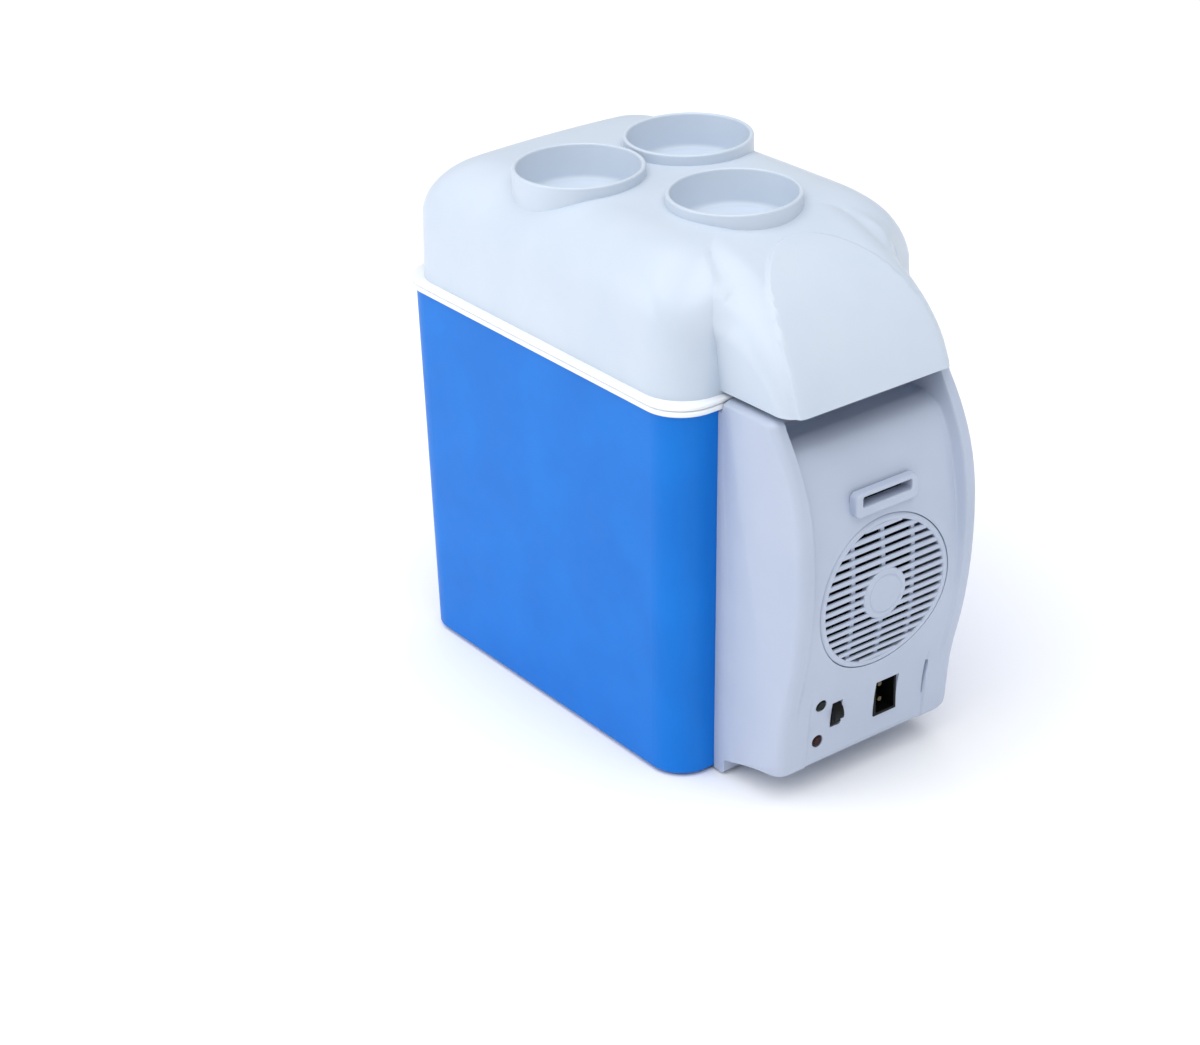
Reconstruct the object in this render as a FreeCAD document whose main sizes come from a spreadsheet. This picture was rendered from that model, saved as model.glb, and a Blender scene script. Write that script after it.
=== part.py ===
import FreeCAD, Part
import math
import os
import re
import Sketcher
from FreeCAD import Placement, Rotation, Vector

# A portable thermoelectric mini fridge: a drafted outer tub with a foam-filled liner, a hinged
# lid with three drinks wells, and a cooling unit in a bowed housing on the front.
# Millimetres, +Z up, front towards -Y, origin at the centre of the base rectangle.
# "Depth" values are measured from the tub's back face towards the front.

os.makedirs("parts", exist_ok=True)
doc = FreeCAD.newDocument("MiniFridge")

# ---------------------------------------------------------------- driving dimensions
DIMS = {
    # outer tub
    "case_width": 180, "case_side_draft": 1.5, "case_depth": 254, "case_front_draft": 8,
    "case_height": 223, "case_wall": 2.5, "case_corner": 21, "case_edge": 1.5, "foot_gap": 1.5,
    # liner and the two flanges of the white band
    "band_proud": 2.5, "tub_flange": 3.2, "lid_flange": 3, "parting_gap": 0.3,
    "tub_side": 14, "tub_back": 15, "tub_front_foam": 18, "tub_taper": 4, "tub_end_taper": 7.2,
    "tub_wall": 2, "tub_floor": 22, "tub_corner": 16, "foam_gap": 0.3,
    # lid
    "lid_inset": 2, "lid_corner": 26, "lid_shoulder": 25, "lid_wall": 2.5,
    "lid_rise": 75, "lid_back_drop": 5.5, "crown_setback": 54, "crown_radius": 113.6,
    "nose_taper": 4.5, "nose_reach": 105.6, "nose_edge": 13, "nose_root": 20,
    "nose_lip_gap": 2.2, "plug_drop": 12, "plug_gap": 1.5, "plug_draft": 1,
    "seal_width": 4, "seal_height": 1.5, "seal_inset": 5,
    "cup_width": 73.7, "cup_proud": 5.1, "cup_sink": 20, "cup_wall": 2.6,
    "cup_taper": 2, "cup_pair_spacing": 76.2, "cup_front_setback": 61.4, "cup_row_gap": 87.1,
    # hinge
    "pin_radius": 1.5, "barrel_radius": 3.5, "barrel_length": 9, "hinge_spacing": 90,
    "pin_clearance": 0.05, "leaf_height": 20, "leaf_edge": 3, "hinge_gap": 0.3,
    "hinge_screw_radius": 1.6,
    # front housing
    "unit_width": 124, "unit_reach": 66.3, "unit_wall": 2.5, "unit_rise": 5.5,
    "cheek_width": 10, "chin_width": 20, "chin_height": 58, "deck_drop": 11,
    "deck_setback": 18, "unit_bottom": 11, "unit_foot": 9, "front_low": 12,
    "ledge_gap": 1, "boss_radius": 4, "boss_length": 26, "boss_height_low": 32,
    "boss_drop": 23, "boss_inset": 10, "housing_screw_radius": 1.5, "joint_gap": 0.6,
    # grille
    "fan_drop": 104.5, "grille_radius": 45, "slot_field_radius": 41, "hub_radius": 14.7,
    "slot_pitch": 5, "bar_height": 2.8, "rib_width": 3, "rib_spacing": 21,
    "grille_skin": 2.5, "grille_gap": 0.2,
    # strap slot and anchor
    "slot_width": 34, "slot_height": 6, "guide_width": 43.4, "guide_tall": 14,
    "guide_rise": 57.5, "guide_proud": 5.5, "guide_neck": 1.4, "slot_lift": 1.9,
    "guide_corner": 3.5, "guide_edge": 1.2, "anchor_width": 50, "anchor_drop": 63, "anchor_tall": 12,
    "anchor_wall": 3, "anchor_gap": 5,
    # controls
    "lamp_radius": 3.5, "lamp_side": 34.2, "lamp_upper": 57, "lamp_lower": 33.4,
    "lamp_length": 9, "lamp_gap": 0.1, "lamp_proud": 0.7, "lamp_dome": 1.2,
    "rocker_side": 22, "rocker_height": 46.8, "rocker_radius": 7.6, "rocker_width": 6.4,
    "rocker_gap": 0.5, "rocker_pivot": 0.8, "rocker_set": 4.4, "pivot_end": 1.2,
    "thumb_step": 2.4, "switch_length": 15, "switch_margin": 2.4, "switch_floor": 2,
    "switch_set": 1.6, "tag_width": 3, "tag_thickness": 0.8, "tag_length": 4, "tag_pitch": 5,
    "inlet_side": 13.9, "inlet_height": 44.7, "inlet_wide": 13.2, "inlet_tall": 19.5,
    "inlet_length": 16, "inlet_wall": 1.6, "inlet_floor": 2.5, "inlet_set": 0.3,
    "contact_radius": 1.4, "contact_spacing": 9.6, "contact_length": 9, "contact_tail": 3,
    "board_inset": 8, "board_tall": 40, "board_thickness": 1.6, "board_height": 45,
    "board_gap": 0.05, "chip_height": 4, "chip_size": 12,
    # cooling unit
    "plate_side": 40, "plate_rise": 40.5, "plate_thickness": 3.8, "gasket_width": 5,
    "gasket_lap": 0.9, "sink_inset": 16, "sink_below": 46.5, "sink_above": 64.5,
    "sink_base": 5, "fin_length": 17, "fin_thickness": 1.4, "fin_count": 15,
    "cold_width": 74, "cold_below": 32.5, "cold_above": 63.5, "cold_base": 4, "cold_fin": 16,
    "cold_fins": 13, "cold_gap": 5, "clamp_spacing": 62, "clamp_radius": 2, "clamp_head": 3.6,
    "clamp_head_height": 2.4, "block_side": 42, "block_gap": 1, "motor_radius": 12.5,
    "motor_length": 22, "motor_gap": 4, "motor_set": 2, "post_spread": 40,
    "post_radius": 2.4, "post_gap": 1.2, "bracket_thickness": 2, "shaft_radius": 1.6,
    "shaft_gap": 2, "outer_fan_radius": 38, "inner_fan_radius": 30, "fan_hub_radius": 10,
    "blade_count": 9, "blade_width": 10, "blade_thickness": 1.2, "blade_pitch": 32,
    "blade_root": 2, "fan_plate": 1.5, "fan_plate_share": 0.62, "fan_gap": 3,
    "guard_width": 96, "guard_below": 40.5, "guard_above": 71.5, "guard_wall": 2,
    "guard_slot": 3, "guard_pitch": 7, "guard_margin": 8,
    # feet and leads
    "foot_radius": 9, "foot_height": 3.5, "foot_inset": 24.5, "foot_back": 34,
    "foot_fit": 0.1, "foot_foam_gap": 0.5, "lead_radius": 1, "lead_gap": 3,
    # how far a cutting tool reaches past what it cuts
    "past": 5,
}

# Front edge of the cheeks and face of the panel between them, from the top down: how far
# each point sits behind the foremost one, and its share of the height up to the tub's rim.
CHEEK_CURVE = ((8.6, 0.88), (1.4, 0.745), (0, 0.635), (1.6, 0.49), (8.6, 0.29),
               (15.2, 0.16), (17.8, 0.055), (18.8, 0))
CHEEK_TOP_SETBACK = 24.2
PANEL_CURVE = ((13.5, 0.85), (8.6, 0.745), (5.4, 0.615), (5.0, 0.475), (9.8, 0.29),
               (16, 0.175), (19, 0.085), (19.6, 0))
SCOOP_SETBACKS = ((32, 0), (22.5, 4))

# Values worked out from the driving dimensions; both sheets feed the expressions below.
LAYOUT = {
    "case_base_width": "case_width - 2 * case_side_draft",
    "case_base_depth": "case_depth - case_front_draft",
    "case_draft": "case_front_draft / (case_height - foot_gap)",
    "unit_depth": "case_depth + unit_reach",
    "hinge_reach": "band_proud + hinge_gap + 2 * barrel_radius",
    "overall_depth": "unit_depth + hinge_reach",
    "rear": "overall_depth / 2 - hinge_reach",
    "tub_top": "case_height + tub_flange",
    "lid_low": "tub_top + parting_gap",
    "lid_base": "lid_low + lid_flange",
    "hinge_y": "rear + band_proud + hinge_gap + barrel_radius",
    "hinge_z": "tub_top + parting_gap / 2",
    "lid_width": "case_width - 2 * lid_inset",
    "lid_block_depth": "case_depth - 2 * lid_inset",
    "lid_front": "case_depth - lid_inset",
    "lid_crown": "lid_base + lid_rise",
    "lid_back_height": "lid_crown - lid_back_drop",
    "crown_depth": "case_depth - crown_setback",
    "nose_width": "unit_width",
    "nose_lip_width": "nose_width - 2 * nose_taper",
    "nose_depth": "crown_depth + nose_reach",
    "nose_lip_height": "lid_base + nose_lip_gap",
    "cup_radius": "cup_width / 2",
    "cup_rim_height": "lid_crown + cup_proud",
    "cup_floor": "cup_rim_height - cup_sink",
    "cup_front_depth": "case_depth - cup_front_setback",
    "cup_pair_depth": "cup_front_depth - cup_row_gap",
    "tub_width": "case_width - 2 * tub_side",
    "tub_depth": "case_depth - tub_back - tub_front_foam",
    "tub_half": "tub_width / 2",
    "tub_front": "tub_back + tub_depth",
    "tub_centre": "tub_back + tub_depth / 2",
    "tub_base_width": "tub_width - 2 * tub_taper",
    "tub_base_back": "tub_back + tub_end_taper",
    "tub_base_front": "tub_front - tub_end_taper",
    "tub_base_depth": "tub_base_front - tub_base_back",
    "tub_base_centre": "(tub_base_back + tub_base_front) / 2",
    "unit_half": "unit_width / 2",
    "unit_top": "case_height + unit_rise",
    "front_foot": "unit_bottom + front_low",
    "chin_half": "unit_half - chin_width",
    "deck_height": "case_height - deck_drop",
    "deck_depth": "case_depth + deck_setback",
    "boss_height_high": "case_height - boss_drop",
    "boss_spread": "unit_half - boss_inset",
    "fan_height": "case_height - fan_drop",
    "guide_height": "fan_height + guide_rise",
    "slot_centre": "guide_height + slot_lift",
    "anchor_height": "case_height - anchor_drop",
    "foot_side": "case_base_width / 2 - foot_inset",
    "foot_front": "case_base_depth - foot_back",
    "plate_height": "fan_height + plate_rise",
    "sink_width": "unit_width - 2 * sink_inset",
    "board_width": "sink_width - board_inset",
    "sink_low": "fan_height - sink_below",
    "sink_high": "fan_height + sink_above",
    "cold_low": "fan_height - cold_below",
    "cold_high": "fan_height + cold_above",
    "guard_low": "fan_height - guard_below",
    "guard_high": "fan_height + guard_above",
    "front_at_plate": "case_base_depth + case_draft * (plate_height - foot_gap)",
    "plate_depth": "front_at_plate + motor_set",
    "sink_depth": "plate_depth + plate_thickness",
    "fin_depth": "sink_depth + sink_base",
    "motor_depth": "fin_depth + motor_set",
    "bracket_depth": "motor_depth + motor_length",
    "outer_fan_depth": "bracket_depth + bracket_thickness + fan_gap",
    "cold_base_depth": "tub_front - cold_gap",
    "cold_fin_depth": "cold_base_depth - cold_base",
    "cold_tip_depth": "cold_fin_depth - cold_fin",
    "inner_fan_depth": "cold_tip_depth - fan_gap - blade_width",
    "guard_depth": "inner_fan_depth - fan_gap - guard_wall",
    "wall_start": "tub_base_front - 2 * past",
    "wall_span": "case_depth - wall_start + past",
}

dims = doc.addObject("Spreadsheet::Sheet", "Dims")
for row, (alias, value) in enumerate(DIMS.items(), start=1):
    dims.set(f"A{row}", alias)
    dims.set(f"B{row}", str(value))
    dims.setAlias(f"B{row}", alias)
doc.recompute()


def named(text):
    """Turns bare names in a formula into references to the two sheets."""
    def reference(match):
        word = match.group(0)
        if word in DIMS:
            return "Dims." + word
        if word in LAYOUT:
            return "Layout." + word
        return word
    return re.sub(r"[a-z_]+", reference, str(text))


layout = doc.addObject("Spreadsheet::Sheet", "Layout")
for row, (alias, formula) in enumerate(LAYOUT.items(), start=1):
    layout.set(f"A{row}", alias)
    layout.set(f"B{row}", "=" + named(formula).replace("Layout.", ""))
    layout.setAlias(f"B{row}", alias)
    doc.recompute()


class Values:
    """Reads a value of either sheet by its name, for the shapes that code makes."""

    def __getattr__(self, name):
        sheet = dims if name in DIMS else layout
        return float(sheet.get(name))


v = Values()


def at_depth(depth):
    """Model Y of a depth measured from the tub's back face."""
    return v.rear - depth


# ---------------------------------------------------------------- small building helpers
def bind(item, **formulas):
    for prop, formula in formulas.items():
        item.setExpression(prop.replace("__", "."), named(formula))
    return item


def place(item, x, y, z):
    return bind(item, Placement__Base__x=x, Placement__Base__y=y, Placement__Base__z=z)


def block(name, x, y, z):
    """Box between pairs of formulas (low, high) along each axis."""
    item = doc.addObject("Part::Box", name)
    bind(item, Length=f"({x[1]}) - ({x[0]})", Width=f"({y[1]}) - ({y[0]})",
         Height=f"({z[1]}) - ({z[0]})")
    return place(item, x[0], y[0], z[0])


TURN = {"x": Rotation(Vector(0, 1, 0), 90), "y": Rotation(Vector(1, 0, 0), 90), "z": Rotation()}


def rod(name, radius, length, at, axis="z"):
    """Cylinder from a point along +X, -Y (towards the front) or +Z."""
    item = doc.addObject("Part::Cylinder", name)
    item.Placement = Placement(Vector(), TURN[axis])
    bind(item, Radius=radius, Height=length)
    return place(item, *at)


def union(name, items):
    item = doc.addObject("Part::MultiFuse", name)
    item.Shapes = items
    item.Refine = True
    return item


def minus(name, base, tools):
    item = doc.addObject("Part::Cut", name)
    item.Base = base
    item.Tool = tools[0] if len(tools) == 1 else union(name + "_tools", tools)
    return item


def common(name, first, second):
    item = doc.addObject("Part::Common", name)
    item.Base = first
    item.Tool = second
    return item


def several(name, items):
    """Keeps repeated pieces as separate solids of one node."""
    item = doc.addObject("Part::Compound", name)
    item.Links = items
    return item


def made(name, shape):
    item = doc.addObject("Part::Feature", name)
    item.Shape = shape
    item.Placement = Placement()
    return item


NODES = {}


def node(name, item):
    item.Label = name
    NODES[name] = item
    return item


# ---------------------------------------------------------------- sketched bodies
def body(name):
    return doc.addObject("PartDesign::Body", name)


def plane_of(owner, role):
    for feature in owner.Origin.OriginFeatures:
        if feature.Role == role:
            return feature
    raise ValueError(role)


def rounded_sketch(owner, name, width, depth, corner, centre_y, height):
    """Rounded rectangle on the XY plane, centred on X = 0 at the given Y and height."""
    sketch = owner.newObject("Sketcher::SketchObject", name)
    sketch.AttachmentSupport = [(plane_of(owner, "XY_Plane"), "")]
    sketch.MapMode = "FlatFace"
    bind(sketch, AttachmentOffset__Base__y=centre_y, AttachmentOffset__Base__z=height)
    w, d, r = 50.0, 60.0, 10.0
    lines = [((-w + r, -d), (w - r, -d)), ((w, -d + r), (w, d - r)),
             ((w - r, d), (-w + r, d)), ((-w, d - r), (-w, -d + r))]
    for start, end in lines:
        sketch.addGeometry(Part.LineSegment(Vector(*start, 0), Vector(*end, 0)), False)
    centres = [(w - r, -d + r, -90), (w - r, d - r, 0), (-w + r, d - r, 90), (-w + r, -d + r, 180)]
    for x, y, start in centres:
        circle = Part.Circle(Vector(x, y, 0), Vector(0, 0, 1), r)
        low, high = math.radians(start), math.radians(start + 90)
        sketch.addGeometry(Part.ArcOfCircle(circle, low, high), False)
    for side in range(4):
        arc = 4 + side
        sketch.addConstraint(Sketcher.Constraint("Tangent", side, 2, arc, 1))
        sketch.addConstraint(Sketcher.Constraint("Tangent", arc, 2, (side + 1) % 4, 1))
    for side in (0, 2):
        sketch.addConstraint(Sketcher.Constraint("Horizontal", side))
    for side in (1, 3):
        sketch.addConstraint(Sketcher.Constraint("Vertical", side))
    for arc in (5, 6, 7):
        sketch.addConstraint(Sketcher.Constraint("Equal", 4, arc))
    sketch.addConstraint(Sketcher.Constraint("Symmetric", 4, 3, 6, 3, -1, 1))
    sized = {"Corner": Sketcher.Constraint("Radius", 4, r),
             "Width": Sketcher.Constraint("DistanceX", 3, 1, 1, 1, 2 * w),
             "Depth": Sketcher.Constraint("DistanceY", 0, 1, 2, 2, 2 * d)}
    for label, formula in (("Width", width), ("Depth", depth), ("Corner", corner)):
        index = sketch.addConstraint(sized[label])
        sketch.renameConstraint(index, label)
        sketch.setExpression("Constraints." + label, named(formula))
    return sketch


def loft(owner, name, low, high, remove=False):
    kind = "PartDesign::SubtractiveLoft" if remove else "PartDesign::AdditiveLoft"
    item = owner.newObject(kind, name)
    item.Profile = low
    item.Sections = [high]
    item.Ruled = True
    return item


def pad(owner, name, sketch, length, remove=False, downwards=False):
    item = owner.newObject("PartDesign::Pocket" if remove else "PartDesign::Pad", name)
    item.Profile = sketch
    item.Reversed = downwards
    bind(item, Length=length)
    return item


# ---------------------------------------------------------------- outer tub
def outer_case():
    shell = body("CaseShell")
    low = rounded_sketch(shell, "CaseLow", "case_base_width", "case_base_depth", "case_corner",
                         "rear - case_base_depth / 2", "foot_gap + case_edge")
    high = rounded_sketch(shell, "CaseHigh", "case_width", "case_depth", "case_corner",
                          "rear - case_depth / 2", "case_height")
    toe = rounded_sketch(shell, "CaseToe", "case_base_width - 2 * case_edge",
                         "case_base_depth - 2 * case_edge", "case_corner - case_edge",
                         "rear - case_base_depth / 2", "foot_gap")
    outside = loft(shell, "CaseOutside", toe, low)
    outside.Sections = [low, high]
    inner_low = rounded_sketch(shell, "CaseInnerLow", "case_base_width - 2 * case_wall",
                               "case_base_depth - 2 * case_wall", "case_corner - case_wall",
                               "rear - case_base_depth / 2", "foot_gap + case_wall")
    inner_high = rounded_sketch(shell, "CaseInnerHigh", "case_width - 2 * case_wall",
                                "case_depth - 2 * case_wall", "case_corner - case_wall",
                                "rear - case_depth / 2", "case_height")
    loft(shell, "CaseInside", inner_low, inner_high, remove=True)
    sockets = [rod(f"foot_socket{i}", "foot_radius + foot_fit", "foot_height", (x, f"rear - {y}", "0"))
               for i, (x, y) in enumerate(foot_places())]
    hinge = made("CaseHingeHoles", Part.makeCompound(hinge_holes(False)))
    return minus("CaseCut", shell, sockets + [hinge] + wall_openings("case")
                 + housing_screw_holes("case"))


def foot_places():
    return [(side + "foot_side", depth) for side in ("-", "") for depth in ("foot_back", "foot_front")]


def wall_openings(name):
    """Window for the transfer block and the hole for the fan shaft in the front wall."""
    half = "(block_side / 2 + block_gap)"
    window = block(name + "_window", (f"-{half}", half),
                   ("rear - wall_start - wall_span", "rear - wall_start"),
                   (f"plate_height - {half}", f"plate_height + {half}"))
    shaft = rod(name + "_shaft_hole", "shaft_radius + shaft_gap", "wall_span",
                ("0", "rear - wall_start", "fan_height"), "y")
    clamps = [rod(f"{name}_clamp_hole{i}", "clamp_radius + block_gap / 2", "wall_span",
                  (f"{side}clamp_spacing / 2", "rear - wall_start", "plate_height"), "y")
              for i, side in enumerate(("-", ""))]
    return [window, shaft] + clamps


def inner_liner():
    tub = body("LinerShell")
    outer_low = rounded_sketch(tub, "LinerLow", "tub_base_width + 2 * tub_wall",
                               "tub_base_depth + 2 * tub_wall", "tub_corner + tub_wall",
                               "rear - tub_base_centre", "tub_floor - tub_wall")
    outer_high = rounded_sketch(tub, "LinerHigh", "tub_width + 2 * tub_wall",
                                "tub_depth + 2 * tub_wall", "tub_corner + tub_wall",
                                "rear - tub_centre", "tub_top")
    loft(tub, "LinerOutside", outer_low, outer_high)
    rim = rounded_sketch(tub, "LinerRim", "case_width + 2 * band_proud",
                         "case_depth + 2 * band_proud", "case_corner + band_proud",
                         "rear - case_depth / 2", "case_height")
    pad(tub, "LinerFlange", rim, "tub_flange")
    inner_low = rounded_sketch(tub, "LinerInnerLow", "tub_base_width", "tub_base_depth",
                               "tub_corner", "rear - tub_base_centre", "tub_floor")
    inner_high = rounded_sketch(tub, "LinerInnerHigh", "tub_width", "tub_depth", "tub_corner",
                                "rear - tub_centre", "tub_top")
    loft(tub, "LinerInside", inner_low, inner_high, remove=True)
    return minus("LinerCut", tub, wall_openings("liner"))


def case_foam():
    foam = body("FoamBody")
    gap = "2 * foam_gap"
    low = rounded_sketch(foam, "FoamLow", f"case_base_width - 2 * case_wall - {gap}",
                         f"case_base_depth - 2 * case_wall - {gap}",
                         "case_corner - case_wall - foam_gap", "rear - case_base_depth / 2",
                         "foot_gap + case_wall + foam_gap")
    high = rounded_sketch(foam, "FoamHigh", f"case_width - 2 * case_wall - {gap}",
                          f"case_depth - 2 * case_wall - {gap}",
                          "case_corner - case_wall - foam_gap", "rear - case_depth / 2",
                          "case_height - foam_gap")
    loft(foam, "FoamOutside", low, high)
    in_low = rounded_sketch(foam, "FoamInnerLow", f"tub_base_width + 2 * tub_wall + {gap}",
                            f"tub_base_depth + 2 * tub_wall + {gap}",
                            "tub_corner + tub_wall + foam_gap", "rear - tub_base_centre",
                            "tub_floor - tub_wall - foam_gap")
    in_high = rounded_sketch(foam, "FoamInnerHigh", f"tub_width + 2 * tub_wall + {gap}",
                             f"tub_depth + 2 * tub_wall + {gap}",
                             "tub_corner + tub_wall + foam_gap", "rear - tub_centre", "tub_top")
    loft(foam, "FoamInside", in_low, in_high, remove=True)
    feet = [rod(f"foam_foot{i}", "foot_radius + foot_foam_gap", "foot_height + foot_foam_gap",
                (x, f"rear - {y}", "0")) for i, (x, y) in enumerate(foot_places())]
    return minus("FoamCut", foam, feet + wall_openings("foam") + housing_screw_holes("foam"))


def case_feet():
    feet = [rod(f"foot{i}", "foot_radius", "foot_height", (x, f"rear - {y}", "0"))
            for i, (x, y) in enumerate(foot_places())]
    return several("FootSet", feet)


# ---------------------------------------------------------------- front housing
def smooth(points):
    """Smooth curve through (depth, height) points, in the plane X = 0."""
    curve = Part.BSplineCurve()
    curve.interpolate([Vector(0, at_depth(depth), height) for depth, height in points])
    return curve.toShape()


def straight(points):
    line = [Vector(0, at_depth(depth), height) for depth, height in points]
    return [Part.makeLine(a, b) for a, b in zip(line, line[1:])]


def prism(edges, half_width, centre=0.0):
    """Closed side outline carried across the width."""
    wire = Part.Wire(Part.__sortEdges__(edges))
    face = Part.Face(wire)
    face.translate(Vector(centre - half_width, 0, 0))
    return face.extrude(Vector(2 * half_width, 0, 0))


def front_height(share):
    """Height at a share of the way from the curved front's foot up to the tub's rim."""
    return v.front_foot + share * (v.case_height - v.front_foot)


def cheek_points():
    """Bowed front edge of the cheeks, from the top down."""
    curve = [(v.unit_depth - back, front_height(share)) for back, share in CHEEK_CURVE]
    return [(v.unit_depth - CHEEK_TOP_SETBACK, v.unit_top)] + curve


def panel_points(inset=0.0):
    """Front of the panel between the cheeks, from the finger scoop down."""
    reach = v.unit_depth - inset
    scoop = [(reach - back, v.deck_height - drop - inset) for back, drop in SCOOP_SETBACKS]
    return scoop + [(reach - back, front_height(share)) for back, share in PANEL_CURVE]


def case_front(height):
    """Depth of the drafted front face of the tub at a height."""
    return v.case_base_depth + v.case_draft * (height - v.foot_gap)


def housing_outline(front, top_run):
    """Closed side outline: foot, underside, front curve, top, and the drafted back edge."""
    foot_front = case_front(0) + v.unit_foot
    rear_top = v.case_height - v.parting_gap
    nose_low = front[-1]
    lower = [(case_front(v.foot_gap), v.foot_gap), (foot_front, v.foot_gap),
             (foot_front, v.unit_bottom), (nose_low[0] - 14, v.unit_bottom + 3)]
    corner = Part.Arc(Vector(0, at_depth(lower[-1][0]), lower[-1][1]),
                      Vector(0, at_depth(nose_low[0] - 3.6), v.unit_bottom + 6.2),
                      Vector(0, at_depth(nose_low[0]), nose_low[1])).toShape()
    top = [front[0]] + top_run + [(case_front(rear_top), rear_top)]
    back = [(case_front(rear_top), rear_top), (case_front(v.foot_gap), v.foot_gap)]
    return straight(lower) + [corner, smooth(front)] + straight(top) + straight(back)


def ledge_run(low):
    """Top of the housing beside the band's flange."""
    ledge = v.case_depth + v.band_proud + v.ledge_gap
    return [(ledge, low), (ledge, v.case_height - v.parting_gap)]


def deck_run():
    return [(v.deck_depth, v.deck_height), (v.deck_depth, v.unit_top)] + ledge_run(v.unit_top)


def grille_hole(radius):
    start = Vector(0, at_depth(v.deck_depth), v.fan_height)
    return Part.makeCylinder(radius, v.unit_reach, start, Vector(0, -1, 0))


def box_between(x0, x1, depth0, depth1, z0, z1):
    low = Vector(x0, at_depth(depth1), z0)
    return Part.makeBox(x1 - x0, depth1 - depth0, z1 - z0, low)


def front_housing():
    half = v.unit_half
    cheek = housing_outline(cheek_points(), ledge_run(v.unit_top))
    panel = housing_outline(panel_points(), deck_run())
    solid = prism(panel, half - 0.5 * v.cheek_width)
    for side in (-1, 1):
        cheek_solid = prism(cheek, v.cheek_width / 2, side * (half - v.cheek_width / 2))
        chin_centre = side * (half + v.chin_half) / 2
        chin = prism(cheek, (half - v.chin_half) / 2, chin_centre)
        chin = chin.common(box_between(-half, half, 0, v.unit_depth + v.past, 0, v.chin_height))
        solid = solid.fuse([cheek_solid, chin])
    # the cavity follows the panel one wall in, and is open at the back
    cavity_points = panel_points(v.unit_wall)
    low_end = cavity_points[-1]
    back = v.case_base_depth - v.past
    floor = v.unit_bottom + 2 * v.unit_wall
    roof = v.case_height - v.unit_wall
    edges = [smooth(cavity_points)]
    edges += straight([low_end, (low_end[0], floor), (back, floor), (back, roof),
                       (v.deck_depth - v.unit_wall, roof),
                       (v.deck_depth - v.unit_wall, v.deck_height - v.unit_wall),
                       cavity_points[0]])
    solid = solid.cut(prism(edges, half - v.unit_wall))
    towards_front = Vector(0, -1, 0)
    for x, z in boss_places():
        start = case_front(z) + v.joint_gap
        boss = Part.makeCylinder(v.boss_radius, v.boss_length, Vector(x, at_depth(start), z),
                                 towards_front)
        side = math.copysign(half - v.unit_wall / 2, x)
        web = box_between(min(x, side), max(x, side), start, start + v.boss_length,
                          z - v.unit_wall / 2, z + v.unit_wall / 2)
        solid = solid.fuse([boss, web])
    for x, z in boss_places():
        start = Vector(x, at_depth(case_front(z) - v.past), z)
        solid = solid.cut(Part.makeCylinder(v.housing_screw_radius, v.boss_length, start,
                                            towards_front))
    solid = solid.cut([grille_hole(v.grille_radius + v.grille_gap)] + control_holes())
    solid = solid.cut(drafted_case_block())
    return made("HousingShell", solid.removeSplitter())


def drafted_case_block():
    """Wedge that the drafted front face of the tub fills, so the housing only meets it."""
    base, top = -v.past, v.unit_top + v.past
    low = [(0, base), (case_front(base), base)]
    high = [(case_front(top), top), (0, top)]
    return prism(straight(low + high + [low[0]]), v.case_width)


def boss_places():
    return [(side * v.boss_spread, z) for side in (-1, 1)
            for z in (v.boss_height_low, v.boss_height_high)]


def panel_depth(height):
    """Depth of the panel's face at a height, read from its curve."""
    curve = smooth(panel_points())
    line = Part.makeLine(Vector(0, at_depth(v.unit_depth + v.past), height),
                         Vector(0, at_depth(v.deck_depth), height))
    return v.rear - curve.distToShape(line)[1][0][0].y


def control_holes():
    """Openings in the panel for strap, lamps, rocker and inlet."""
    depth0, depth1 = v.deck_depth, v.unit_depth + v.past
    slot = box_between(-v.slot_width / 2 - v.guide_neck, v.slot_width / 2 + v.guide_neck,
                       depth0, depth1, v.slot_centre - v.slot_height / 2 - v.guide_neck,
                       v.slot_centre + v.slot_height / 2 + v.guide_neck)
    holes = [slot]
    for z in (v.lamp_upper, v.lamp_lower):
        holes.append(Part.makeCylinder(v.lamp_radius + v.lamp_gap, v.unit_reach,
                                       Vector(-v.lamp_side, at_depth(depth0), z),
                                       Vector(0, -1, 0)))
    half_x = v.rocker_width / 2 + v.rocker_gap
    half_z = v.rocker_radius + v.rocker_gap
    holes.append(box_between(-v.rocker_side - half_x, -v.rocker_side + half_x, depth0, depth1,
                             v.rocker_height - half_z, v.rocker_height + half_z))
    half_x = v.inlet_wide / 2 + v.inlet_wall
    half_z = v.inlet_tall / 2 + v.inlet_wall
    holes.append(box_between(v.inlet_side - half_x, v.inlet_side + half_x, depth0, depth1,
                             v.inlet_height - half_z, v.inlet_height + half_z))
    return holes


def housing_screw_holes(name):
    """Clearance in the tub's front wall for the screws into the housing's posts."""
    holes = []
    for i, (side, z) in enumerate([(s, z) for s in ("-", "")
                                   for z in ("boss_height_low", "boss_height_high")]):
        holes.append(rod(f"{name}_screw_hole{i}", "housing_screw_radius + tub_wall", "wall_span",
                         (f"{side}boss_spread", "rear - wall_start", z), "y"))
    return holes


def housing_screws():
    screws = []
    for i, (side, z) in enumerate([(s, z) for s in ("-", "")
                                   for z in ("boss_height_low", "boss_height_high")]):
        face = f"rear - case_base_depth - case_draft * ({z} - foot_gap)"
        at = (f"{side}boss_spread", f"{face} - joint_gap", z)
        shank = rod(f"housing_shank{i}", "housing_screw_radius - pin_clearance",
                    "boss_length - 2 * past", at, "y")
        head_at = (f"{side}boss_spread", f"{face} + foot_gap", z)
        head = rod(f"housing_head{i}", "2 * housing_screw_radius - grille_gap",
                   "foot_gap + joint_gap", head_at, "y")
        screws.append(union(f"housing_screw{i}", [shank, head]))
    return several("HousingScrewSet", screws)


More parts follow.
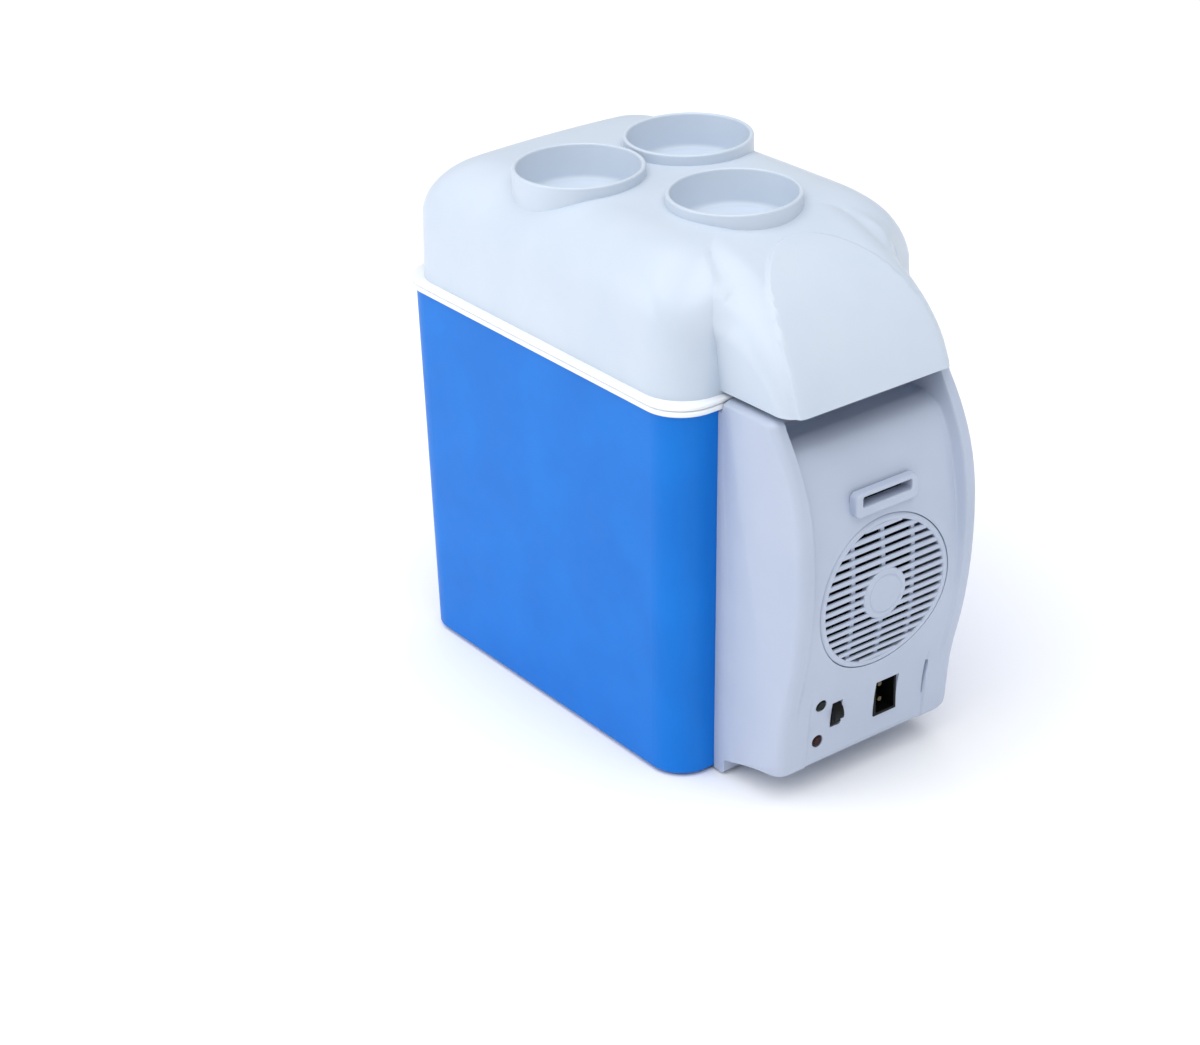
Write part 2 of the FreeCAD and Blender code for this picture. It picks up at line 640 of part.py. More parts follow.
def fan_grille():
    """Louvred insert: bars, ring and hub cut from the panel's own curve, ribs behind them."""
    def skin(outer, inner):
        low, high = panel_points(outer), panel_points(inner)
        ends = straight([low[0], high[0]]) + straight([high[-1], low[-1]])
        return prism([smooth(low), smooth(high)] + ends, v.grille_radius + v.past)

    depth0, depth1 = v.deck_depth, v.unit_depth + v.past
    ring = grille_hole(v.grille_radius).cut(grille_hole(v.slot_field_radius))
    face = [ring, grille_hole(v.hub_radius)]
    rows = int(v.slot_field_radius / v.slot_pitch)
    field = grille_hole(v.slot_field_radius + v.grille_skin / 2)
    for row in range(-rows, rows + 1):
        centre = v.fan_height + row * v.slot_pitch
        bar = box_between(-v.grille_radius, v.grille_radius, depth0, depth1,
                          centre - v.bar_height / 2, centre + v.bar_height / 2)
        face.append(bar.common(field))
    front = skin(0, v.grille_skin).common(face[0].fuse(face[1:]))
    back = [ring, grille_hole(v.hub_radius)]
    for column in (-1, 0, 1):
        centre = column * v.rib_spacing
        rib = box_between(centre - v.rib_width / 2, centre + v.rib_width / 2, depth0, depth1,
                          v.fan_height - v.grille_radius, v.fan_height + v.grille_radius)
        back.append(rib.common(field))
    rib_back = v.grille_skin + v.rib_width / 2
    rear = skin(v.grille_skin - v.grille_gap, rib_back).common(back[0].fuse(back[1:]))
    return made("GrilleDisc", front.fuse(rear).removeSplitter())


def strap_guide():
    """Raised lip around the strap slot, with a neck through the panel."""
    face = panel_depth(v.guide_height)
    half_w, half_t = v.guide_width / 2, v.guide_tall / 2
    lip = box_between(-half_w, half_w, face - v.guide_edge, face + v.guide_proud,
                      v.guide_height - half_t, v.guide_height + half_t)
    corners = [edge for edge in lip.Edges if edge.BoundBox.YLength > v.guide_proud]
    lip = lip.makeFillet(v.guide_corner, corners)
    front_y = at_depth(face + v.guide_proud)
    rim = [edge for edge in lip.Edges if edge.BoundBox.YMax < front_y + 0.01]
    lip = lip.makeFillet(v.guide_edge, rim)
    neck_w = v.slot_width / 2 + v.guide_neck - v.lamp_gap
    neck_t = v.slot_height / 2 + v.guide_neck - v.lamp_gap
    neck = box_between(-neck_w, neck_w, face - v.lamp_length, face, v.slot_centre - neck_t,
                       v.slot_centre + neck_t)
    slot = box_between(-v.slot_width / 2, v.slot_width / 2, v.deck_depth, face + 2 * v.past,
                       v.slot_centre - v.slot_height / 2, v.slot_centre + v.slot_height / 2)
    # the lip sits on the curved panel, so what would sink into the panel is taken off
    panel = prism(housing_outline(panel_points(), deck_run()), v.unit_half)
    lip = lip.cut(panel)
    return made("GuideLip", lip.fuse(neck).cut(slot).removeSplitter())


def strap_anchor():
    """Bridge on the tub's back for the other end of the carrying strap."""
    half = "anchor_width / 2"
    low, high = "anchor_height - anchor_tall / 2", "anchor_height + anchor_tall / 2"
    bar = block("anchor_bar", (f"-{half}", half), ("rear", "rear + anchor_gap + anchor_wall"),
                (low, high))
    gap = block("anchor_way", (f"-{half} + 2 * anchor_wall", f"{half} - 2 * anchor_wall"),
                ("rear - past", "rear + anchor_gap"), (f"{low} - past", f"{high} + past"))
    return minus("AnchorBridge", bar, [gap])


# ---------------------------------------------------------------- controls
def lamp(name, height):
    face = panel_depth(height)
    towards_front = Vector(0, -1, 0)
    straight_length = v.lamp_length - v.lamp_dome
    start = Vector(-v.lamp_side, at_depth(face + v.lamp_proud - v.lamp_length), height)
    tube = Part.makeCylinder(v.lamp_radius, straight_length, start, towards_front)
    dome = Part.makeCone(v.lamp_radius, v.lamp_radius - v.lamp_dome, v.lamp_dome,
                         start + towards_front * straight_length, towards_front)
    collar = Part.makeCylinder(v.lamp_radius + v.lamp_dome, v.lamp_dome, start, towards_front)
    return made(name, tube.fuse([dome, collar]).removeSplitter())


def rocker_pivot_depth():
    return panel_depth(v.rocker_height) - v.rocker_set


def mode_rocker():
    """Drum that rocks about X, with its lower front flattened so a thumb pad stands out."""
    centre = Vector(-v.rocker_side - v.rocker_width / 2, at_depth(rocker_pivot_depth()),
                    v.rocker_height)
    drum = Part.makeCylinder(v.rocker_radius, v.rocker_width, centre, Vector(1, 0, 0))
    flat_depth = panel_depth(v.rocker_height) + v.grille_gap
    flat = box_between(-v.rocker_side - v.rocker_width, -v.rocker_side + v.rocker_width,
                       flat_depth, flat_depth + v.rocker_radius,
                       v.rocker_height - v.rocker_radius, v.rocker_height - v.thumb_step)
    drum = drum.cut(flat)
    pivot = Part.makeCylinder(v.rocker_pivot, v.rocker_width + 2 * v.pivot_end,
                              centre - Vector(v.pivot_end, 0, 0), Vector(1, 0, 0))
    return made("RockerDrum", drum.fuse(pivot))


def switch_body():
    """Open box behind the panel that carries the rocker's pivot."""
    half_x = v.rocker_width / 2 + v.rocker_gap
    half_z = v.rocker_radius + v.rocker_gap
    margin = v.switch_margin
    front = switch_front()
    outer = box_between(-v.rocker_side - half_x - margin, -v.rocker_side + half_x + margin,
                        front - v.switch_length, front, v.rocker_height - half_z - margin,
                        v.rocker_height + half_z + margin)
    hollow = box_between(-v.rocker_side - half_x, -v.rocker_side + half_x,
                         front - v.switch_length + v.switch_floor, front + v.past,
                         v.rocker_height - half_z,
                         v.rocker_height + half_z)
    pivot = Part.makeCylinder(v.rocker_pivot + v.pin_clearance, 2 * half_x + 2 * margin,
                              Vector(-v.rocker_side - half_x - margin,
                                     at_depth(rocker_pivot_depth()), v.rocker_height),
                              Vector(1, 0, 0))
    return made("SwitchBox", outer.cut([hollow, pivot]).fuse(switch_terminals(0.0)))


def switch_terminals(gap):
    """Three solder tags at the back of the switch."""
    back = switch_front() - v.switch_length
    tags = []
    half_x, half_z = v.tag_width / 2 + gap, v.tag_thickness / 2 + gap
    for step in (-1, 0, 1):
        height = v.rocker_height + step * v.tag_pitch
        tags.append(box_between(-v.rocker_side - half_x, -v.rocker_side + half_x,
                                back - v.tag_length, back + v.switch_floor / 2,
                                height - half_z, height + half_z))
    return tags


def switch_front():
    """Depth of the switch box's mouth, just behind the panel."""
    return panel_depth(v.rocker_height) - v.unit_wall - v.switch_set


def inlet_socket():
    face = panel_depth(v.inlet_height)
    half_x, half_z = v.inlet_wide / 2, v.inlet_tall / 2
    wall = v.inlet_wall - v.lamp_gap
    outer = box_between(v.inlet_side - half_x - wall, v.inlet_side + half_x + wall,
                        face - v.inlet_length, face - v.inlet_set, v.inlet_height - half_z - wall,
                        v.inlet_height + half_z + wall)
    hollow = box_between(v.inlet_side - half_x, v.inlet_side + half_x,
                         face - v.inlet_length + v.inlet_floor, face + v.past,
                         v.inlet_height - half_z, v.inlet_height + half_z)
    return made("InletBox", outer.cut([hollow] + contact_rods(0.0)))


def contact_rods(radius_gap):
    face = panel_depth(v.inlet_height)
    rods = []
    for side in (-0.5, 0.5):
        start = Vector(v.inlet_side, at_depth(face - v.inlet_length - v.contact_tail),
                       v.inlet_height + side * v.contact_spacing)
        length = v.contact_tail + v.inlet_floor + v.contact_length
        rods.append(Part.makeCylinder(v.contact_radius + radius_gap, length,
                                      start, Vector(0, -1, 0)))
    return rods


def board_front():
    """Depth of the board's face, just behind the switch."""
    return switch_front() - v.switch_length - v.board_gap


def control_board():
    face = f"rear - {board_front():.4f}"
    back = f"{face} + board_thickness"
    board = block("board_plate", ("-board_width / 2", "board_width / 2"), (face, back),
                  ("board_height - board_tall / 2", "board_height + board_tall / 2"))
    chip = block("board_chip", ("-chip_size / 2", "chip_size / 2"), (back, f"{back} + chip_height"),
                 ("board_height - chip_size / 2", "board_height + chip_size / 2"))
    solid = union("board_solid", [board, chip])
    holes = made("BoardHoles", Part.makeCompound(contact_rods(v.lamp_gap) + switch_terminals(v.lamp_gap)))
    return minus("BoardAssembly", solid, [holes])


# ---------------------------------------------------------------- cooling unit
def fins(name, count, width, depth_low, length, low, high):
    """Row of upright fins across the width, made by one fin and a linear array of copies."""
    half = f"({width} - fin_thickness) / 2"
    made_fins = []
    for index in range(int(count)):
        share = index / (int(count) - 1)
        x = f"-{half} + ({width} - fin_thickness) * {share:.5f} - fin_thickness / 2"
        made_fins.append(block(f"{name}_fin{index}", (x, f"{x} + fin_thickness"),
                               (f"rear - ({depth_low}) - ({length})",
                                f"rear - ({depth_low}) + fin_thickness / 4"),
                               (low, high)))
    return made_fins


def hot_heatsink():
    base = block("hot_base", ("-sink_width / 2", "sink_width / 2"),
                 ("rear - fin_depth", "rear - sink_depth"), ("sink_low", "sink_high"))
    rows = fins("hot", v.fin_count, "sink_width", "fin_depth", "fin_length", "sink_low", "sink_high")
    solid = union("hot_solid", [base] + rows)
    well = rod("hot_motor_well", "motor_radius + motor_gap", "fin_length + past",
               ("0", "rear - fin_depth", "fan_height"), "y")
    posts = [rod(f"hot_post_well{i}", "post_radius + post_gap", "fin_length + past",
                 (x, "rear - fin_depth", z), "y") for i, (x, z) in enumerate(post_places())]
    clamps = [rod(f"hot_clamp_well{i}", "clamp_head + post_gap", "fin_length + past",
                  (f"{side}clamp_spacing / 2", "rear - fin_depth", "plate_height"), "y")
              for i, side in enumerate(("-", ""))]
    holes = [rod(f"hot_clamp_hole{i}", "clamp_radius + grille_gap", "unit_reach",
                 (f"{side}clamp_spacing / 2", "rear - sink_depth + past", "plate_height"), "y")
             for i, side in enumerate(("-", ""))]
    shaft = rod("hot_shaft_hole", "shaft_radius + shaft_gap", "unit_reach",
                ("0", "rear - sink_depth + past", "fan_height"), "y")
    return minus("HotSink", solid, [well, shaft] + posts + clamps + holes)


def cold_heatsink():
    base = block("cold_plate", ("-cold_width / 2", "cold_width / 2"),
                 ("rear - cold_base_depth", "rear - cold_fin_depth"), ("cold_low", "cold_high"))
    rows = fins("cold", v.cold_fins, "cold_width", "cold_tip_depth", "cold_fin_depth - cold_tip_depth",
                "cold_low", "cold_high")
    solid = union("cold_solid", [base] + rows)
    shaft = rod("cold_shaft_hole", "shaft_radius + shaft_gap", "unit_reach",
                ("0", "rear - cold_tip_depth + past", "fan_height"), "y")
    holes = [rod(f"cold_clamp_hole{i}", "clamp_radius", "unit_reach",
                 (f"{side}clamp_spacing / 2", "rear - cold_tip_depth + past", "plate_height"), "y")
             for i, side in enumerate(("-", ""))]
    return minus("ColdSink", solid, [shaft] + holes)


def transfer_block():
    return block("TransferBlock", ("-block_side / 2", "block_side / 2"),
                 ("rear - plate_depth", "rear - cold_base_depth"),
                 ("plate_height - block_side / 2", "plate_height + block_side / 2"))


def thermoelectric_module():
    return block("PeltierPlate", ("-plate_side / 2", "plate_side / 2"),
                 ("rear - sink_depth", "rear - plate_depth"),
                 ("plate_height - plate_side / 2", "plate_height + plate_side / 2"))


def module_gasket():
    rim = "plate_side / 2 + block_gap + gasket_width"
    frame = block("gasket_frame", (f"-({rim})", rim),
                  ("rear - sink_depth", "rear - plate_depth + gasket_lap"),
                  (f"plate_height - ({rim})", f"plate_height + {rim}"))
    hole = "block_side / 2 + grille_gap"
    window = block("gasket_window", (f"-({hole})", hole),
                   ("rear - sink_depth - past", "rear - plate_depth + past"),
                   (f"plate_height - ({hole})", f"plate_height + {hole}"))
    return minus("GasketFrame", frame, [window])


def heatsink_screws():
    screws = []
    for i, side in enumerate(("-", "")):
        x = f"{side}clamp_spacing / 2"
        shank = rod(f"clamp_shank{i}", "clamp_radius", "fin_depth - cold_fin_depth",
                    (x, "rear - cold_fin_depth", "plate_height"), "y")
        head = rod(f"clamp_head{i}", "clamp_head", "clamp_head_height",
                   (x, "rear - fin_depth", "plate_height"), "y")
        screws.append(union(f"clamp_screw{i}", [shank, head]))
    return several("ClampScrewSet", screws)


def post_places():
    return [(f"{sx}post_spread / 2", f"fan_height {sz} post_spread / 2")
            for sx in ("-", "") for sz in ("-", "+")]


def motor_bracket():
    """Plate in front of the motor on four posts from the heatsink's base."""
    half = "post_spread / 2 + post_radius"
    plate = block("bracket_plate", (f"-({half})", half),
                  ("rear - bracket_depth - bracket_thickness", "rear - bracket_depth"),
                  (f"fan_height - ({half})", f"fan_height + {half}"))
    posts = [rod(f"bracket_post{i}", "post_radius", "bracket_depth - fin_depth",
                 (x, "rear - fin_depth", z), "y") for i, (x, z) in enumerate(post_places())]
    solid = union("bracket_solid", [plate] + posts)
    hole = rod("bracket_hole", "shaft_radius + shaft_gap", "bracket_thickness + 2 * past",
               ("0", "rear - bracket_depth + past", "fan_height"), "y")
    return minus("MotorBracket", solid, [hole])


def fan_motor():
    can = rod("motor_can", "motor_radius", "motor_length", ("0", "rear - motor_depth", "fan_height"), "y")
    bore = rod("motor_bore", "shaft_radius + pin_clearance", "motor_length + 2 * past",
               ("0", "rear - motor_depth + past", "fan_height"), "y")
    return minus("MotorCan", can, [bore])


def rotor_shaft():
    return rod("RotorShaft", "shaft_radius",
               "outer_fan_depth + blade_width - inner_fan_depth",
               ("0", "rear - inner_fan_depth", "fan_height"), "y")


def impeller(name, radius, depth, backplate_at_front):
    """Back plate and hub with straight radial blades set round them."""
    def turned(r, start, length):
        return Part.makeCylinder(r, length, Vector(0, at_depth(start), v.fan_height),
                                 Vector(0, -1, 0))

    hub = turned(v.fan_hub_radius, depth, v.blade_width)
    plate_start = depth + v.blade_width - v.fan_plate if backplate_at_front else depth
    plate = turned(radius * v.fan_plate_share, plate_start, v.fan_plate)
    solids = [hub, plate]
    root = v.fan_hub_radius - v.blade_root
    for index in range(int(v.blade_count)):
        corner = Vector(root, at_depth(depth + v.blade_width),
                        v.fan_height - v.blade_thickness / 2)
        blade = Part.makeBox(radius - root, v.blade_width, v.blade_thickness, corner)
        blade.rotate(Vector(v.fan_hub_radius, at_depth(depth + v.blade_width / 2), v.fan_height),
                     Vector(1, 0, 0), v.blade_pitch)
        blade.rotate(Vector(0, 0, v.fan_height), Vector(0, 1, 0), 360.0 * index / v.blade_count)
        solids.append(blade)
    sleeve = turned(radius, depth, v.blade_width)
    rotor = solids[0].fuse(solids[1:]).common(sleeve)
    bore = turned(v.shaft_radius, depth - v.past, v.blade_width + 2 * v.past)
    return made(name, rotor.cut(bore).removeSplitter())


def cold_air_guard():
    """Louvred cover over the inner fan and the cold fins, on the liner's front wall."""
    front = "rear - guard_depth"
    back = "rear - tub_base_front"
    cover = block("guard_block", ("-guard_width / 2", "guard_width / 2"), (back, front),
                  ("guard_low", "guard_high"))
    hollow = block("guard_hollow", ("-guard_width / 2 + guard_wall", "guard_width / 2 - guard_wall"),
                   (f"{back} - past", f"{front} - guard_wall"),
                   ("guard_low + guard_wall", "guard_high - guard_wall"))
    slots = []
    rows = int((v.guard_high - v.guard_low - 2 * v.guard_margin) / v.guard_pitch)
    for row in range(rows + 1):
        z = f"guard_low + guard_margin + guard_pitch * {row}"
        slots.append(block(f"guard_slot{row}",
                           ("-guard_width / 2 + guard_margin", "guard_width / 2 - guard_margin"),
                           (f"{front} - guard_wall - 1", f"{front} + 1"), (z, f"{z} + guard_slot")))
    return minus("GuardCover", cover, [hollow] + slots)


def supply_wires():
    """Leads from the board up to the plate and to the motor."""
    def lead(points):
        path = Part.makePolygon([Vector(x, at_depth(depth), z) for x, depth, z in points])
        radius = v.lead_radius
        solids = []
        corners = path.Vertexes
        for first, second in zip(corners, corners[1:]):
            run = second.Point - first.Point
            solids.append(Part.makeCylinder(radius, run.Length, first.Point, run))
            solids.append(Part.makeSphere(radius, second.Point))
        return solids[0].fuse(solids[1:]).removeSplitter()

    top = v.board_height + v.board_tall / 2 - v.lead_gap
    start = board_front() - v.board_thickness - v.lead_radius
    side = v.sink_width / 2 + v.lead_gap
    leads = []
    for offset in (0, v.lead_gap):
        leads.append(lead([(side - 2 * v.past, start - offset, top - v.past + offset),
                           (side + offset, start - offset, top + offset),
                           (side + offset, v.plate_depth, v.plate_height - v.plate_side / 2)]))
    return made("LeadSet", Part.makeCompound(leads))


# ---------------------------------------------------------------- lid
def lid_side_profile(inset, depth_end, low, back):
    """Side outline: gentle rise from the back, then the nose's arc down to a depth."""
    def ridge(depth):
        radius = v.crown_radius - inset
        return v.lid_crown - v.crown_radius + math.sqrt(radius ** 2 - (depth - v.crown_depth) ** 2)

    back_high = v.lid_back_height - inset
    middle = v.crown_depth / 2
    middle_high = back_high + 3 / 4 * (v.lid_crown - inset - back_high)
    rear_arc = Part.Arc(Vector(0, at_depth(back), back_high),
                        Vector(0, at_depth(middle), middle_high),
                        Vector(0, at_depth(v.crown_depth), v.lid_crown - inset)).toShape()
    mid_depth = (v.crown_depth + depth_end) / 2
    nose_arc = Part.Arc(Vector(0, at_depth(v.crown_depth), v.lid_crown - inset),
                        Vector(0, at_depth(mid_depth), ridge(mid_depth)),
                        Vector(0, at_depth(depth_end), ridge(depth_end))).toShape()
    runs = straight([(depth_end, ridge(depth_end)), (depth_end, low), (back, low),
                     (back, back_high)])
    return [rear_arc, nose_arc] + runs


def rounded_prism(width, back, front, corner, low, high):
    """Upright prism on a rounded rectangle between two depths."""
    slab = box_between(-width / 2, width / 2, back, front, low, high)
    uprights = [edge for edge in slab.Edges if edge.BoundBox.ZLength > high - low - 0.01]
    return slab.makeFillet(corner, uprights)


def lid_block(inset, low):
    """Main block of the lid with its rolled shoulders."""
    width = v.lid_width - 2 * inset
    back, front = v.lid_inset + inset, v.lid_inset + v.lid_block_depth - inset
    top = v.lid_crown - inset
    form = rounded_prism(width, back, front, v.lid_corner - inset, low, top)
    rim = [edge for edge in form.Edges if edge.BoundBox.ZMin > top - 0.01]
    form = form.makeFillet(v.lid_shoulder - inset, rim)
    return form.common(prism(lid_side_profile(inset, front, low, back), width))


def lid_nose(inset, low):
    """Hood over the front unit, tapered in plan, with rolled side edges."""
    root = v.crown_depth - v.nose_root
    lip = v.nose_depth - inset
    half_root, half_lip = v.nose_width / 2 - inset, v.nose_lip_width / 2 - inset
    plan = [(-half_root, root), (half_root, root), (half_root, v.lid_block_depth),
            (half_lip, lip), (-half_lip, lip), (-half_root, v.lid_block_depth),
            (-half_root, root)]
    outline = Part.makePolygon([Vector(x, at_depth(depth), low) for x, depth in plan])
    form = Part.Face(outline).extrude(Vector(0, 0, v.lid_crown + v.past - low))
    form = form.common(prism(lid_side_profile(inset, lip, low, v.lid_inset), v.nose_width))
    rolled = []
    for edge in form.Edges:
        box = edge.BoundBox
        ahead = box.YMax < at_depth(v.crown_depth) + 1 and box.YLength > v.nose_root
        if ahead and box.ZMin > low + 1 and abs(box.XMin) > half_lip - 1:
            rolled.append(edge)
    return form.makeFillet(v.nose_edge - inset, rolled)


def cup_places():
    half = v.cup_pair_spacing / 2
    return [(-half, v.cup_pair_depth), (half, v.cup_pair_depth), (0.0, v.cup_front_depth)]


def cup_post(gap=0.0, low=None):
    low = v.cup_floor - v.cup_wall if low is None else low
    return [Part.makeCylinder(v.cup_radius + gap, v.cup_rim_height - low,
                              Vector(x, at_depth(depth), low)) for x, depth in cup_places()]


def lid_shell():
    low = v.lid_base
    wall = v.lid_wall
    side = v.lid_width / 2
    above_lip = box_between(-side, side, 0, v.overall_depth, v.nose_lip_height, v.cup_rim_height)
    nose = lid_nose(0, low).common(above_lip)
    outside = lid_block(0, low).fuse(nose)
    inside = lid_block(wall, low - 1).fuse(lid_nose(wall, low - 1))
    # the block's own front wall stays behind the hood
    divider = box_between(-side, side, v.lid_front - wall, v.lid_front, low - 1,
                          v.cup_rim_height)
    shell = outside.cut(inside.cut(divider)).fuse(cup_post())
    wells = []
    for x, depth in cup_places():
        bottom = Vector(x, at_depth(depth), v.cup_floor)
        mouth = v.cup_radius - v.cup_wall
        wells.append(Part.makeCone(mouth - v.cup_taper, mouth, v.cup_sink, bottom))
    return made("LidShell", shell.cut(wells + hinge_holes(True)).removeSplitter())


def lid_liner():
    tray = body("LidTray")
    rim = rounded_sketch(tray, "LidRim", "case_width + 2 * band_proud",
                         "case_depth + 2 * band_proud", "case_corner + band_proud",
                         "rear - case_depth / 2", "lid_low")
    pad(tray, "LidFlange", rim, "lid_flange")
    centre = "rear - tub_centre"
    low = rounded_sketch(tray, "PlugLow", "tub_width - 2 * (plug_gap + plug_draft)",
                         "tub_depth - 2 * (plug_gap + plug_draft)", "tub_corner - plug_gap", centre,
                         "lid_low - plug_drop")
    high = rounded_sketch(tray, "PlugHigh", "tub_width - 2 * plug_gap",
                          "tub_depth - 2 * plug_gap", "tub_corner - plug_gap", centre,
                          "lid_base")
    loft(tray, "Plug", low, high)
    hollow_low = rounded_sketch(tray, "PlugHollowLow",
                                "tub_width - 2 * (plug_gap + plug_draft + tub_wall)",
                                "tub_depth - 2 * (plug_gap + plug_draft + tub_wall)",
                                "tub_corner - plug_gap - tub_wall", centre,
                                "lid_low - plug_drop + tub_wall")
    hollow_high = rounded_sketch(tray, "PlugHollowHigh", "tub_width - 2 * (plug_gap + tub_wall)",
                                 "tub_depth - 2 * (plug_gap + tub_wall)",
                                 "tub_corner - plug_gap - tub_wall", centre, "lid_base")
    loft(tray, "PlugHollow", hollow_low, hollow_high, remove=True)
    return minus("LidTrayCut", tray, [seal_ring("SealGroove")])


def seal_ring(name):
    """Ring of rubber let into the underside of the lid's flange."""
    ring = body(name)
    centre = "rear - tub_centre"
    outer = rounded_sketch(ring, name + "Outer", "tub_width + 2 * seal_inset + 2 * seal_width",
                           "tub_depth + 2 * seal_inset + 2 * seal_width",
                           "tub_corner + seal_inset", centre, "lid_low")
    pad(ring, name + "Pad", outer, "seal_height")
    inner = rounded_sketch(ring, name + "Inner", "tub_width + 2 * seal_inset",
                           "tub_depth + 2 * seal_inset", "tub_corner + seal_inset - seal_width / 2", centre,
                           "lid_low + seal_height")
    pad(ring, name + "Hole", inner, "seal_height + past", remove=True)
    return ring


def lid_foam():
    gap = v.foam_gap
    inset = v.lid_wall + gap
    upper = lid_block(inset, v.lid_base + gap)
    inward = v.plug_gap + v.tub_wall + v.plug_draft + gap
    plug_half = v.tub_half - inward
    back = v.tub_back + inward
    front = v.tub_front - inward
    lower = rounded_prism(2 * plug_half, back, front, v.tub_corner - v.plug_gap - v.tub_wall,
                          v.lid_low - v.plug_drop + v.tub_wall + gap,
                          v.lid_base + gap + v.plug_draft)
    posts = cup_post(gap, v.cup_floor - v.cup_wall - gap)
    return made("LidFoam", upper.fuse(lower).cut(posts).removeSplitter())


# ---------------------------------------------------------------- hinge
def hinge_centres():
    return (-v.hinge_spacing / 2, v.hinge_spacing / 2)


def knuckle(x0, x1, upward):
    """Barrel on the pin's line with a gusset to a leaf on the wall above or below it."""
    y, z, r = v.hinge_y, v.hinge_z, v.barrel_radius
    sign = 1 if upward else -1
    wall = v.rear - v.lid_inset if upward else v.rear
    edge = v.lid_base + v.grille_gap if upward else v.case_height - v.grille_gap
    outline = [Vector(x0, y - r, z), Vector(x0, y + r, z),
               Vector(x0, y + r, z + sign * (v.leaf_edge + r)),
               Vector(x0, wall, z + sign * (v.leaf_height + v.leaf_edge)), Vector(x0, wall, edge),
               Vector(x0, y - r, edge), Vector(x0, y - r, z)]
    gusset = Part.Face(Part.makePolygon(outline)).extrude(Vector(x1 - x0, 0, 0))
    barrel = Part.makeCylinder(r, x1 - x0, Vector(x0, y, z), Vector(1, 0, 0))
    return gusset.fuse(barrel)


def pin_bore(clearance):
    reach = v.hinge_spacing / 2 + 2 * v.barrel_length
    return Part.makeCylinder(v.pin_radius + clearance, 2 * reach,
                             Vector(-reach, v.hinge_y, v.hinge_z), Vector(1, 0, 0))


def leaf(centre, upward):
    """Plate that joins the barrels of one hinge and takes its two screws."""
    half = 1.5 * v.barrel_length + v.hinge_gap
    wall = v.rear - v.lid_inset if upward else v.rear
    if upward:
        low, high = v.lid_base + v.grille_gap, v.hinge_z + v.leaf_height + v.leaf_edge
    else:
        low, high = v.hinge_z - v.leaf_height - v.leaf_edge, v.case_height - v.grille_gap
    return Part.makeBox(2 * half, v.band_proud, high - low, Vector(centre - half, wall, low))


def lid_hinge_knuckles():
    pieces = []
    for centre in hinge_centres():
        half = v.barrel_length / 2
        piece = knuckle(centre - half, centre + half, True).fuse(leaf(centre, True))
        pieces.append(piece.cut([pin_bore(v.pin_clearance)] + screw_rods(centre, True, 0.0)))
    return made("LidKnuckles", Part.makeCompound(pieces))


def case_hinge_knuckles():
    pieces = []
    for centre in hinge_centres():
        inner = v.barrel_length / 2 + v.hinge_gap
        outer = inner + v.barrel_length
        piece = leaf(centre, False)
        piece = piece.fuse([knuckle(centre - outer, centre - inner, False),
                            knuckle(centre + inner, centre + outer, False)])
        pieces.append(piece.cut([pin_bore(0.0)] + screw_rods(centre, False, 0.0)))
    return made("CaseKnuckles", Part.makeCompound(pieces))


def screw_rods(centre, upward, gap):
    """Screw shanks through a leaf and the wall behind it: side by side beside the lid's
    knuckle, one above the other between the tub's knuckles."""
    if upward:
        wall = v.rear - v.lid_inset
        height = v.hinge_z + v.leaf_height - v.leaf_edge
        places = [(centre + side * v.barrel_length, height) for side in (-1, 1)]
    else:
        wall = v.rear
        lowest = v.hinge_z - v.leaf_height
        places = [(centre, lowest), (centre, lowest + v.barrel_length + 1)]
    length = v.case_wall + v.band_proud
    return [Part.makeCylinder(v.hinge_screw_radius + gap, length, Vector(x, wall - v.case_wall, z),
                              Vector(0, 1, 0)) for x, z in places]


def hinge_screw_set(name, upward):
    screws = []
    for centre in hinge_centres():
        for shank in screw_rods(centre, upward, -v.pin_clearance):
            box = shank.BoundBox
            seat = Vector((box.XMin + box.XMax) / 2, box.YMax, (box.ZMin + box.ZMax) / 2)
            head = Part.makeCylinder(2 * v.hinge_screw_radius, v.hinge_screw_radius, seat,
                                     Vector(0, 1, 0))
            screws.append(shank.fuse(head))
    return made(name, Part.makeCompound(screws))


def hinge_pins():
    pins = []
    for centre in hinge_centres():
        half = 1.5 * v.barrel_length + v.hinge_gap
        pins.append(Part.makeCylinder(v.pin_radius, 2 * half,
                                      Vector(centre - half, v.hinge_y, v.hinge_z),
                                      Vector(1, 0, 0)))
    return made("PinSet", Part.makeCompound(pins))


def hinge_holes(upward):
    holes = []
    for centre in hinge_centres():
        holes += screw_rods(centre, upward, 0.0)
    return holes


# ---------------------------------------------------------------- assembly
node("outer_case", outer_case())
node("inner_liner", inner_liner())
node("case_foam", case_foam())
node("case_feet", case_feet())
node("front_housing", front_housing())
node("housing_screws", housing_screws())
node("fan_grille", fan_grille())
node("strap_guide", strap_guide())
node("strap_anchor", strap_anchor())
node("indicator_green", lamp("LampUpper", v.lamp_upper))
node("indicator_red", lamp("LampLower", v.lamp_lower))
node("switch_body", switch_body())
node("mode_rocker", mode_rocker())
node("inlet_socket", inlet_socket())
node("inlet_pins", made("ContactSet", Part.makeCompound(contact_rods(0.0))))
node("control_board", control_board())
node("thermoelectric_module", thermoelectric_module())
node("module_gasket", module_gasket())
node("hot_heatsink", hot_heatsink())
node("cold_heatsink", cold_heatsink())
node("transfer_block", transfer_block())
node("heatsink_screws", heatsink_screws())
node("fan_motor", fan_motor())
node("motor_bracket", motor_bracket())
node("rotor_shaft", rotor_shaft())
node("outer_impeller", impeller("OuterImpeller", v.outer_fan_radius, v.outer_fan_depth, False))
node("inner_impeller", impeller("InnerImpeller", v.inner_fan_radius, v.inner_fan_depth, True))
node("cold_air_guard", cold_air_guard())
